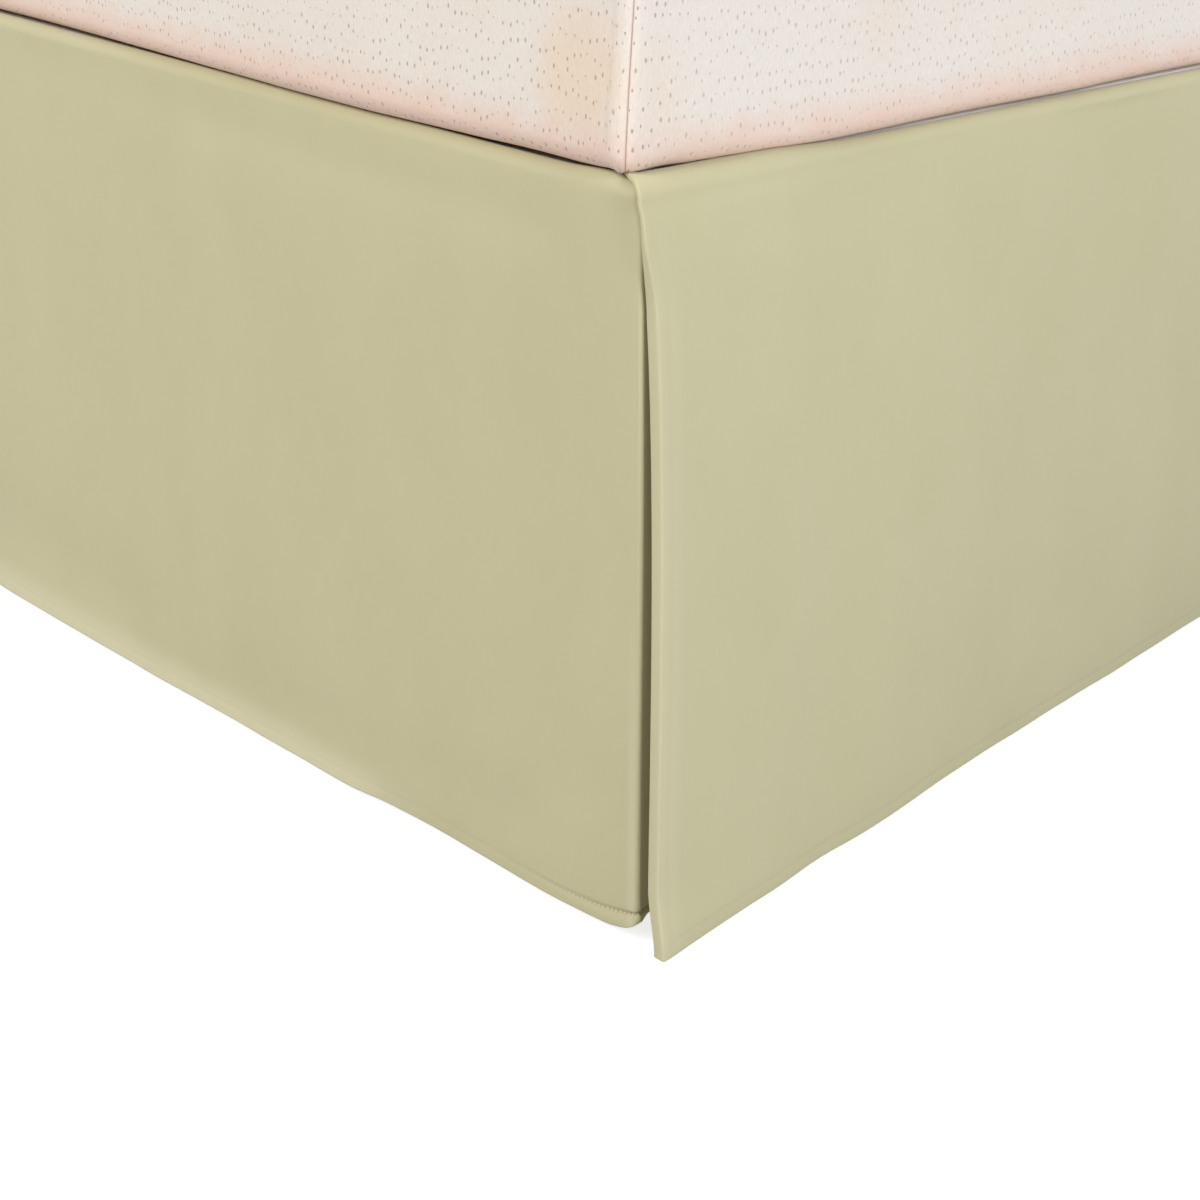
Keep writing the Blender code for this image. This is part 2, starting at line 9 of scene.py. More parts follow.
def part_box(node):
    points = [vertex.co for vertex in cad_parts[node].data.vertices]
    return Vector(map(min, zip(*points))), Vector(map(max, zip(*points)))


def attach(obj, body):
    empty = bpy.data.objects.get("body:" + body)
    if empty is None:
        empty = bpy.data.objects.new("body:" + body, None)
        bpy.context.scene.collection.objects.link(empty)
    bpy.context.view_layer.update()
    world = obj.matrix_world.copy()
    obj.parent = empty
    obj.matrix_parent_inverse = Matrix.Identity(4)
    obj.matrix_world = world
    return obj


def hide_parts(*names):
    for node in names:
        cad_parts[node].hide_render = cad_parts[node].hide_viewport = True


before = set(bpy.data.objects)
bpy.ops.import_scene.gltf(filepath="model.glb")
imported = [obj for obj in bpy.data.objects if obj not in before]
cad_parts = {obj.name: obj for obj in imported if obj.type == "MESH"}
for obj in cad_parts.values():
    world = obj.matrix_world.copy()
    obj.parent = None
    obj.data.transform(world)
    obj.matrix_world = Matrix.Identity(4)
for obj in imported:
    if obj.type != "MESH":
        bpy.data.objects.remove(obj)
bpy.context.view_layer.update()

# Dresses the bed skirt, its mattress, its foundation and its legs. Metres, +Z up, the foot of
# the bed towards -Y. A drop's "out" is a distance outward from the plane in which it hangs.

# the bed that the cloth goes round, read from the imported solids

cloth = {
    "thickness": 0.0012,
    "hemThickness": 0.0022,
    "hemWidth": 0.008,
    "gap": 0.0003,             # between layers that touch
    "pleatGap": 0.0005,        # between the two drops where they overlap
    "edgeClearance": 0.002,    # between the cloth and the edge that it falls over
    "edgeRadius": 0.004,       # of the foundation's top edge
    "flatRun": 0.006,          # from the shoulder to the seam with the deck
}
foundationLow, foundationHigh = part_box("foundation")
inset = cloth["edgeClearance"] + cloth["thickness"]
halfWidth = foundationHigh[0] + inset
footY = foundationLow[1] - inset
headY = foundationHigh[1] + inset
topZ = foundationHigh[2]
skirtWidth = 2 * halfWidth
skirtLength = headY - footY
shoulderRadius = cloth["edgeRadius"] + cloth["edgeClearance"]
shoulderOut = -inset - cloth["edgeRadius"]
shoulderZ = topZ - cloth["edgeRadius"]
seamOut = shoulderOut - cloth["flatRun"]

# camera, first of all, at the photograph's place and angle

viewing = {
    "fromCorner": (0.5645, -0.5696, 0.5737),  # from the foot of the right foot corner
    "turn": 45.5,
    "down": 25.5,
    "roll": 1.64,
    "lens": 57.45,
    "sensor": 36.0,
    "nearClip": 0.02,
}


def makeCamera(values):
    turn, down, roll = (math.radians(values[name]) for name in ("turn", "down", "roll"))
    forward = Vector((
        -math.sin(turn) * math.cos(down), math.cos(turn) * math.cos(down), -math.sin(down)
    ))
    level = Vector((math.cos(turn), math.sin(turn), 0.0))
    upright = level.cross(forward)
    right = level * math.cos(roll) + upright * math.sin(roll)
    up = upright * math.cos(roll) - level * math.sin(roll)
    place = Vector((halfWidth, footY, 0.0)) + Vector(values["fromCorner"])
    camera = bpy.data.objects.new("camera", bpy.data.cameras.new("camera"))
    camera.data.lens = values["lens"]
    camera.data.sensor_width = values["sensor"]
    camera.data.clip_start = values["nearClip"]
    bpy.context.scene.collection.objects.link(camera)
    turned = Matrix((right, up, -forward)).transposed().to_4x4()
    camera.matrix_world = Matrix.Translation(place) @ turned
    bpy.context.scene.camera = camera


makeCamera(viewing)
print("camera placed")

# small helpers for whole arrays


def smooth(share):
    # 3 t^2 - 2 t^3 between 0 and 1: no slope at either end
    share = np.clip(share, 0.0, 1.0)
    return share * share * (3.0 - 2.0 * share)


def blend(low, high, share):
    return low + (high - low) * share


def curveThrough(table, column, along):
    # a cubic from row to row of a table, with the slope that the neighbouring rows give
    knots = np.array([row[0] for row in table])
    values = np.array([row[column] for row in table])
    slopes = np.gradient(values, knots)
    along = np.clip(along, knots[0], knots[-1])
    i = np.clip(np.searchsorted(knots, along) - 1, 0, len(knots) - 2)
    span = knots[i + 1] - knots[i]
    t = (along - knots[i]) / span
    return (
        values[i] * (1 + 2 * t) * (1 - t) ** 2
        + values[i + 1] * t * t * (3 - 2 * t)
        + span * slopes[i] * t * (1 - t) ** 2
        - span * slopes[i + 1] * t * t * (1 - t)
    )


def softCreases(table, along, height):
    # sum of depth * exp(-(distance to a line / width)^2), each line with soft ends
    total = np.zeros(np.broadcast(along, height).shape)
    for along0, height0, along1, height1, width, depth in table:
        runX, runZ = along1 - along0, height1 - height0
        share = ((along - along0) * runX + (height - height0) * runZ) / (runX**2 + runZ**2)
        near = np.clip(share, 0.0, 1.0)
        far2 = (along - along0 - near * runX) ** 2 + (height - height0 - near * runZ) ** 2
        total = total + depth * np.exp(-far2 / width**2)
    return total


def gridMesh(name, x, y, z, u, v, closed=False, marks=None):
    # one face between four neighbours of a grid whose first index is the column; marks are
    # named shares from 0 to 1 at the points, which the materials read
    columns, rows = x.shape
    points = np.stack([x, y, z], axis=-1).reshape(-1, 3)
    across = np.arange(columns if closed else columns - 1)
    c, r = np.meshgrid(across, np.arange(rows - 1), indexing="ij")
    following = (c + 1) % columns
    corners = np.stack(
        [c * rows + r, following * rows + r, following * rows + r + 1, c * rows + r + 1], axis=-1
    ).reshape(-1, 4)
    mesh = bpy.data.meshes.new(name)
    mesh.from_pydata(points.tolist(), [], corners.tolist())
    flatU = np.broadcast_to(u, x.shape).reshape(-1)[corners]
    if closed:  # the last column of faces ends at the full turn, not back at zero
        wrapped = flatU[:, 1] < flatU[:, 0] - 1e-6
        turn = np.broadcast_to(u, x.shape).max() * columns / (columns - 1)
        flatU[wrapped, 1] += turn
        flatU[wrapped, 2] += turn
    flatV = np.broadcast_to(v, x.shape).reshape(-1)[corners]
    layer = mesh.uv_layers.new(name="onCloth")
    layer.data.foreach_set("uv", np.stack([flatU, flatV], axis=-1).reshape(-1))
    for label, values in (marks or {}).items():
        mark = mesh.attributes.new(label, "FLOAT", "POINT")
        mark.data.foreach_set("value", np.broadcast_to(values, x.shape).astype(float).reshape(-1))
    mesh.polygons.foreach_set("use_smooth", np.ones(len(corners), dtype=bool))
    mesh.update()
    piece = bpy.data.objects.new(name, mesh)
    bpy.context.scene.collection.objects.link(piece)
    return piece


# how each drop of the skirt hangs

# along from the corner, swing of the hem, belly of the middle, flick of the last of it
footHang = (
    (0.000, -0.0040, 0.0000, 0.0000),
    (0.040, 0.0015, 0.0010, -0.0005),
    (0.130, 0.0065, 0.0025, -0.0013),
    (0.200, 0.0115, 0.0025, -0.0010),
    (0.345, 0.0188, 0.0010, -0.0003),
    (0.430, 0.0227, 0.0000, 0.0008),
    (0.570, 0.0273, -0.0010, 0.0014),
    (0.750, 0.0235, 0.0010, 0.0020),
    (0.930, 0.0120, 0.0035, 0.0000),
    (1.110, 0.0190, 0.0010, 0.0020),
    (1.280, 0.0150, 0.0025, 0.0000),
    (1.440, 0.0020, 0.0015, -0.0005),
    (skirtWidth, -0.0030, 0.0000, 0.0000),
)
rightHang = (
    (0.000, 0.0265, 0.0076, 0.0052),
    (0.050, 0.0255, 0.0066, 0.0020),
    (0.110, 0.0237, 0.0055, 0.0010),
    (0.190, 0.0230, 0.0042, 0.0003),
    (0.270, 0.0174, 0.0032, 0.0000),
    (0.360, 0.0118, 0.0024, 0.0000),
    (0.450, 0.0088, 0.0018, 0.0000),
    (0.560, 0.0029, 0.0015, 0.0000),
    (0.780, 0.0100, 0.0005, 0.0010),
    (1.020, 0.0045, 0.0025, 0.0000),
    (1.270, 0.0150, 0.0000, 0.0015),
    (1.520, 0.0060, 0.0020, 0.0000),
    (1.780, 0.0125, 0.0005, 0.0010),
    (skirtLength, 0.0080, 0.0010, 0.0000),
)
leftHang = (
    (0.000, 0.0258, 0.0077, 0.0050),
    (0.060, 0.0244, 0.0064, 0.0018),
    (0.130, 0.0210, 0.0050, 0.0008),
    (0.240, 0.0150, 0.0035, 0.0000),
    (0.370, 0.0080, 0.0020, 0.0000),
    (0.600, 0.0130, 0.0010, 0.0010),
    (0.870, 0.0040, 0.0025, 0.0000),
    (1.120, 0.0110, 0.0000, 0.0010),
    (1.400, 0.0055, 0.0020, 0.0000),
    (1.690, 0.0140, 0.0005, 0.0015),
    (skirtLength, 0.0070, 0.0010, 0.0000),
)
pleat = {
    "depth": 0.085,            # of what is folded back behind the side drop
    "liftEnds": 0.150,         # distance from the corner at which the layers end
    "foldRoll": 0.0050,        # how far the fold opens outwards
    "foldOpenBy": 0.14,        # share of the way down by which it is open
    "foldPlaceTop": 0.0004,    # how far behind the foot's plane the fold lies at the top
    "foldPlaceHem": 0.0060,    # and lower down
    "foldPlaceFrom": 0.03,     # shares of the way down between which it moves back
    "foldPlaceBy": 0.13,
    "foldDepthOpen": 0.0034,   # of the open fold's roll
    "foldSquareness": 2.6,
    "foldMitre": 0.45,         # slant of the fold over the shoulder
    "topRadius": 0.0045,       # of the foot drop's pressed corner, from the top to the hem
    "sharpRadius": 0.0016,
    "pressRadius": 0.0026,
    "hemCornerRadius": 0.0035,
    "leastRadius": 0.002,      # above the hanging part
    "sharpBy": 0.045,          # shares of the way down at which one radius becomes the next
    "pressFrom": 0.15,
    "pressOver": 0.25,
    "hemFrom": 0.945,
    "hemOver": 0.055,
    "creasesStop": 0.006,      # from the pressed corner
    "innerLift": cloth["thickness"],
    "middleLift": cloth["thickness"] + cloth["pleatGap"],
    "outerLift": 3 * cloth["thickness"] + cloth["pleatGap"] + cloth["gap"],
}
# painted highlights: paler lines along the pressed folds, and a paler band along the foot drop's hem
# where it kicks out
paintedHighlights = {
    "place": 0.0015,           # beside the foot drop's corner
    "width": 0.0022,
    "atTop": 0.12,             # its strength at the top, and where it grows to the full one
    "fullFrom": 0.45,
    "fullOver": 0.45,
    "startsOver": 0.1,
    "hemFrom": 0.13,           # along the foot drop's hem: distances from the corner
    "hemFromOver": 0.10,
    "hemUntil": 0.60,
    "hemUntilOver": 0.15,
    "hemHigh": 0.006,          # and heights over the edge
    "hemHighOver": 0.016,
    "hemShare": 0.9,
    "foldPlace": 0.006,        # along the side drop's fold
    "crestPlace": 0.0065,
    "crestWidth": 0.0045,
    "crestShare": 0.35,
    "crestOver": 0.15,
}
# columns of points along a drop: stretches from, to, step, and numbers on the smaller parts
columnPlan = {
    "foot": ((0, 0.11, 0.0028), (0.11, 0.70, 0.0048), (0.70, 1.40, 0.007),
             (1.40, skirtWidth, 0.003)),
    "side": ((0.0, 0.10, 0.0028), (0.10, 0.60, 0.0055), (0.60, skirtLength, 0.009)),
    "onCorner": 12,
    "onReturn": 22,
    "onHidden": 24,
    "onFold": 15,
}
# the hang of what is folded back behind the side drop, in the same four columns
returnHang = (
    (0.000, 0.0140, 0.0026, 0.0),
    (0.014, 0.0134, 0.0024, 0.0),
    (0.034, 0.0085, 0.0010, 0.0),
    (pleat["depth"], 0.0090, 0.0, 0.0),
)
# how far the pleat draws the foot drop's hem up: distance from the corner (minus lies round it),
# raise of the edge, raise of the stitch line
drawnUp = (
    (-0.0950, 0.0000, 0.0000), (-0.0600, 0.0070, 0.0045), (-0.0300, 0.0135, 0.0085),
    (-0.0205, 0.0130, 0.0085), (-0.0155, 0.0115, 0.0076), (-0.0130, 0.0085, 0.0066),
    (-0.0104, 0.0061, 0.0055), (-0.0060, 0.0034, 0.0042), (-0.0020, 0.0018, 0.0030),
    (0.0050, 0.0003, 0.0017), (0.0130, 0.0000, 0.0008), (0.0280, 0.0000, 0.0001),
    (0.0450, 0.0000, 0.0000),
)
hanging = {
    "bellyPower": 0.6,
    "flickStarts": 0.9,
    "footHem": 0.006,          # height of the foot drop's hem over the floor
    "sideHem": 0.004,
    "wave": 0.00045,           # height of the slight waves
    "waveLengths": (0.173, 0.091, 0.057),
    "footPhase": 0.4,          # so that no two drops wave alike
    "sidePhase": 1.3,
    "creasesFrom": 0.05,       # length over which the side drop's creases begin
}
# where the rows of points lie up a drop: in the hem, then evenly to a height below the shoulder,
# then closer to the shoulder; and how many lie on the turn and on the flat run
rowPlan = {
    "hem": (0.0, 0.8, 2.0, 3.6, 5.2, 6.3, 7.1, 7.7, 8.2, 8.8, 9.8, 11.5, 14.0, 17.0),   # mm
    "evenFrom": 0.022,
    "evenUntil": 0.055,
    "evenCount": 46,           # so many rows
    "closeFrom": 0.050,
    "closeCount": 13,
    "onTurn": 11,
    "onRun": 5,
}


def hangOut(table, along, down):
    # swing * down + belly * sin(pi * down^power) + flick * eased last tenth
    swing = curveThrough(table, 1, along) * down
    belly = curveThrough(table, 2, along) * np.sin(math.pi * down ** hanging["bellyPower"])
    late = (down - hanging["flickStarts"]) / (1 - hanging["flickStarts"])
    return swing + belly + curveThrough(table, 3, along) * smooth(late)


def dropRows(hemHeight):
    # rows up the hanging part, close together at the hem, then a quarter turn, then the flat run
    hem = np.array(rowPlan["hem"]) / 1000
    high = shoulderZ - hemHeight
    even = np.linspace(rowPlan["evenFrom"], high - rowPlan["evenUntil"], rowPlan["evenCount"])
    close = np.linspace(high - rowPlan["closeFrom"], high, rowPlan["closeCount"])
    rise = np.concatenate([hem, even, close])
    quarter = np.linspace(0, math.pi / 2, rowPlan["onTurn"])[1:]
    run = np.linspace(0, 1, rowPlan["onRun"])[1:]
    pad = np.zeros
    rows = {
        "rise": np.concatenate([rise, pad(len(quarter)), pad(len(run))]),
        "turn": np.concatenate([pad(len(rise)), quarter, pad(len(run)) + math.pi / 2]),
        "run": np.concatenate([pad(len(rise)), pad(len(quarter)), run]),
        "isHanging": np.concatenate([pad(len(rise)) + 1, pad(len(quarter)), pad(len(run))]),
        "hemHeight": hemHeight,
        "inHem": int(np.searchsorted(rise, cloth["hemWidth"])),
    }
    rows["down"] = rows["isHanging"] * (1 - rows["rise"] / high)
    arc = quarter * (shoulderRadius + cloth["thickness"])
    rows["girth"] = np.concatenate([rise, high + arc, high + arc[-1] + run * cloth["flatRun"]])
    return rows


def outAt(rows, lift, hang):
    # shoulder centre + (radius + lift) * cos(turn) + hang, then straight in to the seam
    onFlat = (rows["run"] > 0).astype(float)
    rounded = (shoulderRadius + lift) * np.cos(rows["turn"]) * (1 - onFlat)
    return shoulderOut + rounded + hang * rows["isHanging"] + (seamOut - shoulderOut) * rows["run"]


puff = {
    "height": 0.0024,
    "fromSide": 0.022,
    "fromFoot": 0.002,
    "reach": 0.020,
    "innermost": 0.86,         # share of it that the lowest layer gets
    "easesFrom": 0.004,        # distances in from the side's plane
    "easesOver": 0.014,
}


def puffAt(x, y):
    # the layers stand up a little beside the corner: height * exp(-(distance in plan / reach)^2),
    # eased off towards the side's plane
    inward = halfWidth - np.abs(x)
    off = np.hypot(inward - puff["fromSide"], y - footY - puff["fromFoot"])
    eased = smooth((inward - puff["easesFrom"]) / puff["easesOver"])
    return puff["height"] * np.exp(-((off / puff["reach"]) ** 2)) * eased


def heightAt(rows, lift, x, y, puffed=1.0):
    # the row's rise, or the quarter turn's sine, or the run that settles on the foundation
    inward = np.minimum(halfWidth - np.abs(x), y - footY)
    settled = smooth((inward + shoulderOut) / (shoulderOut - seamOut))
    raised = puffed * puffAt(x, y)
    onFlat = topZ + blend(cloth["edgeClearance"] + raised, cloth["gap"], settled) + lift
    onTurn = shoulderZ + (shoulderRadius + lift + raised) * np.sin(rows["turn"])
    onDrop = rows["hemHeight"] + rows["rise"] + 0 * x
    return np.where(rows["isHanging"] > 0, onDrop, np.where(rows["run"] > 0, onFlat, onTurn))


hemSewing = {
    "crease": 0.00008,         # depth of the groove at the stitch line
    "cornerCrease": 0.0017,    # what is added to it beside the pleat
    "creaseAbove": 0.0010,     # its reach above and below the line
    "creaseBelow": 0.0026,
    "pucker": 0.00035,
    "puckerPitch": 0.0075,
    "puckerReach": 0.006,
    "puckerFrom": 0.004,       # height over which it grows from the edge
    "puckerRest": 0.15,        # share of it away from the pleat
    "onSide": 0.1,             # share of what is added, on the side drops
    "cornerReach": 0.024,
    "raiseFades": 0.10,
}


def hemRelief(rows, along, strength):
    # a groove at the stitch line, and little waves below and above it that die out
    rise = rows["rise"]
    hangs = rows["isHanging"]
    over = rise - cloth["hemWidth"]
    width = np.where(over > 0, hemSewing["creaseAbove"], hemSewing["creaseBelow"])
    groove = np.exp(-((over / width) ** 2))
    reach = np.exp(-((over / hemSewing["puckerReach"]) ** 2)) * smooth(rise / hemSewing["puckerFrom"])
    turn = 2 * math.pi * along / hemSewing["puckerPitch"]
    waves = 0.5 * np.sin(turn) + 0.3 * np.sin(0.65 * turn + 1.0) + 0.2 * np.sin(1.6 * turn + 2.0)
    depth = hemSewing["crease"] + hemSewing["cornerCrease"] * strength
    puckers = hemSewing["pucker"] * waves * reach * (hemSewing["puckerRest"] + strength)
    return hangs * (puckers - depth * groove)


def hemRaise(rows, fromCorner):
    # the edge's raise eases into the stitch line's, which dies out over the next 10 cm
    edge, stitched = (curveThrough(drawnUp, column, fromCorner)[:, None] for column in (1, 2))
    low = blend(edge, stitched, smooth(rows["rise"] / cloth["hemWidth"]))
    fading = smooth((rows["rise"] - cloth["hemWidth"]) / hemSewing["raiseFades"])
    return low * (1 - fading) * rows["isHanging"]


# the dent beside the pleat, under the foot drop's upper edge
dimple = {
    "depth": 0.0018,
    "height": 0.3705,          # of its middle over the floor
    "above": 0.0075,           # its reach up, down and along the cloth
    "below": 0.030,
    "reach": 0.013,
    "along": 0.004,            # of its middle from the corner
}
# along0, height0, along1, height1, width, depth (plus stands out)
footCreases = (
    (0.060, 0.3560, 0.330, 0.3590, 0.0130, -0.0011),   # trough under the shoulder
    (0.330, 0.3590, 0.520, 0.3640, 0.0120, -0.0006),
    (0.020, 0.0900, 0.090, 0.0300, 0.0200, -0.0009),   # drawn in above the hem by the pleat
    (0.060, 0.0420, 0.300, 0.0350, 0.0180, -0.0010),
    (0.420, 0.0480, 0.640, 0.0600, 0.0220, -0.0012),
    (0.200, -0.0040, 0.600, -0.0040, 0.0170, 0.0036),  # hem kicked out further along
    (0.080, 0.2600, 0.110, 0.1500, 0.0350, -0.0006),
    (0.200, 0.3000, 0.260, 0.1200, 0.0500, 0.0006),
    (0.900, 0.3600, 1.250, 0.3550, 0.0140, -0.0010),
    (1.420, 0.3300, 1.450, 0.1200, 0.0400, -0.0008),
)
sideCreases = (
    (0.060, 0.3560, 0.200, 0.3600, 0.0130, -0.0006),
    (0.110, 0.3000, 0.140, 0.0800, 0.0400, -0.0006),
    (0.380, 0.3400, 0.250, 0.0300, 0.0500, -0.0010),   # broad diagonal, down towards the foot
    (0.620, 0.3500, 0.660, 0.0800, 0.0600, 0.0009),
    (0.900, 0.3560, 1.200, 0.3600, 0.0150, -0.0010),
    (1.350, 0.3000, 1.420, 0.0600, 0.0500, -0.0008),
    (1.700, 0.3500, 1.650, 0.1000, 0.0550, 0.0009),
)


def slightWaves(along, down, phase):
    # three long low sines that grow from the top to the hem
    first, second, third = hanging["waveLengths"]
    waves = (
        0.5 * np.sin(2 * math.pi * along / first + phase)
        + 0.3 * np.sin(2 * math.pi * along / second + 2.1 * phase)
        + 0.2 * np.sin(2 * math.pi * along / third + 0.7 + down * 2.0)
    )
    return hanging["wave"] * waves * smooth(down * 1.6)


def spacing(*stretches):
    # distances from start to end of each stretch, at its own step
    parts = [
        np.linspace(low, high, int(round((high - low) / step)), endpoint=False)
        for low, high, step in stretches
    ]
    return np.concatenate(parts + [np.array([stretches[-1][1]])])


def finishSheet(piece, rows, nodeName):
    # the cloth's thickness goes inward, and is larger over the turned-up hem
    count = len(rows["rise"])
    hemRows = np.arange(len(piece.data.vertices)) % count <= rows["inHem"]
    hem = piece.vertex_groups.new(name="hem")
    hem.add(np.flatnonzero(hemRows).tolist(), 1.0, "REPLACE")
    thick = piece.modifiers.new("thickness of the cloth", "SOLIDIFY")
    thick.thickness = cloth["hemThickness"]
    thick.vertex_group = "hem"
    thick.thickness_vertex_group = cloth["thickness"] / cloth["hemThickness"]
    thick.offset = -1
    thick.use_even_offset = True
    piece.data.materials.append(skirtCloth)
    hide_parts(nodeName)
    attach(piece, "root")


def footDrop():
    # plan path: left return, left corner arc, foot, right corner arc, right return; the corner
    # arc's centre is (radius) inside the return's plane and the foot's plane
    rows = dropRows(hanging["footHem"])
    down = rows["down"]
    lift = pleat["innerLift"]
    level = outAt(rows, lift, 0.0)
    upper = blend(pleat["topRadius"], pleat["sharpRadius"], smooth(down / pleat["sharpBy"]))
    firmer = smooth((down - pleat["pressFrom"]) / pleat["pressOver"])
    upper = blend(upper, pleat["pressRadius"], firmer)
    atHem = smooth((down - pleat["hemFrom"]) / pleat["hemOver"])
    lower = blend(pleat["pressRadius"], pleat["hemCornerRadius"], atHem)
    radius = np.where(down < 0.5, upper, lower)
    overTop = np.maximum(pleat["leastRadius"], pleat["topRadius"] + level)
    radius = np.where(rows["isHanging"] > 0, radius, overTop)
    outAtFold = level + hangOut(returnHang, 0 * down, down)
    reach = halfWidth + outAtFold - radius

    fromCorner = spacing(*columnPlan["foot"])
    share = 1 - fromCorner[::-1, None] / skirtWidth
    footX = blend(-reach, reach, share)
    along = halfWidth - footX
    extra = softCreases(footCreases, along, rows["hemHeight"] + rows["rise"]) * rows["isHanging"]
    extra = extra + slightWaves(along, down, hanging["footPhase"])
    ends = smooth((reach - np.abs(footX)) / pleat["creasesStop"])
    nearPleat = np.exp(-np.minimum(along, skirtWidth - along) / hemSewing["cornerReach"])
    extra = extra * ends + hemRelief(rows, along, nearPleat)
    extra = extra * (rows["isHanging"] > 0)

    onTurn = shoulderZ + (shoulderRadius + lift) * np.sin(rows["turn"])
    height = np.where(rows["isHanging"] > 0, rows["hemHeight"] + rows["rise"], onTurn)
    over = height - dimple["height"]
    dented = np.exp(-((over / np.where(over > 0, dimple["above"], dimple["below"])) ** 2))
    dented = dimple["depth"] * dented * (1 - np.sin(rows["turn"]))

    def hangs(place):
        # the hang less a dent that is steep above and long below, and soft along the cloth
        near = np.exp(-(((place - dimple["along"]) / dimple["reach"]) ** 2))
        return hangOut(footHang, place, down) - dented * near

    footYs = footY - level - hangs(along) - extra

    def corner(side, turn):
        # the arc's centre + (radius + relief) * (cos, sin) of the angle round it
        start = 0.0 if side > 0 else skirtWidth
        centreY = footY - level - hangs(start + 0 * down) + radius
        around = math.pi / 2 * (turn - 1)
        bump = hemRelief(rows, 0.0, 1.0)
        x = side * (reach + (radius + bump) * np.cos(around))
        return x, centreY + (radius + bump) * np.sin(around), centreY

    def behind(side, turn, centreY):
        # straight back from the arc's centre to the pleat's depth, out by the return's hang
        y = blend(centreY, footY + pleat["depth"], turn)
        out = level + hangOut(returnHang, y - footY, down) + hemRelief(rows, y - footY, 1.0)
        return side * (halfWidth + out), y

    arc = np.linspace(0, 1, columnPlan["onCorner"])[1:-1, None]
    back = np.linspace(0, 1, columnPlan["onReturn"])[:, None]
    leftArcX, leftArcY, leftCentre = corner(-1, arc[::-1])
    leftX, leftY = behind(-1, back[::-1], leftCentre)
    rightArcX, rightArcY, rightCentre = corner(1, arc)
    rightX, rightY = behind(1, back, rightCentre)
    x = np.concatenate([leftX, leftArcX, footX, rightArcX, rightX])
    y = np.concatenate([leftY, leftArcY, footYs, rightArcY, rightY])
    roundCorner = halfWidth - np.abs(x[:, 0])
    roundCorner[:len(back)] -= leftY[:, 0] - leftCentre[0]
    roundCorner[-len(back):] -= rightY[:, 0] - rightCentre[0]
    z = heightAt(rows, lift, x, y, puff["innermost"]) + hemRaise(rows, roundCorner)
    step = np.hypot(np.diff(x[:, 0]), np.diff(y[:, 0]))
    girth = np.concatenate([[0.0], np.cumsum(step)])
    # painted highlight: a paler line beside the foot drop's pressed corner, and a paler band along its
    # hem where it kicks out
    beside = np.full((len(back) + len(arc), 1), 1.0) + 0 * down
    fromFold = np.concatenate([beside, reach - np.abs(footX), beside])
    nearFold = np.exp(-(((fromFold - paintedHighlights["place"]) / paintedHighlights["width"]) ** 2))
    growing = smooth((down - paintedHighlights["fullFrom"]) / paintedHighlights["fullOver"])
    paintedHighlight = nearFold * blend(paintedHighlights["atTop"], 1.0, growing) * smooth(down / paintedHighlights["startsOver"])
    paintedHemLight = (
        smooth((fromFold - paintedHighlights["hemFrom"]) / paintedHighlights["hemFromOver"])
        * (1 - smooth((fromFold - paintedHighlights["hemUntil"]) / paintedHighlights["hemUntilOver"]))
    )
    above = smooth((rows["rise"] - paintedHighlights["hemHigh"]) / paintedHighlights["hemHighOver"])
    paintedHemLight = paintedHemLight * rows["isHanging"] * (1 - above)
    paintedHighlight = np.maximum(paintedHighlight, paintedHighlights["hemShare"] * paintedHemLight * (roundCorner[:, None] > 0))
    drawn = np.exp(-np.abs(roundCorner[:, None]) / hemSewing["cornerReach"])
    piece = gridMesh("skirtFootDrop", x, y, z, girth[:, None], rows["girth"][None, :],
                     marks={"paintedHighlight": paintedHighlight, "drawn": drawn})
    finishSheet(piece, rows, "skirt_foot_drop")


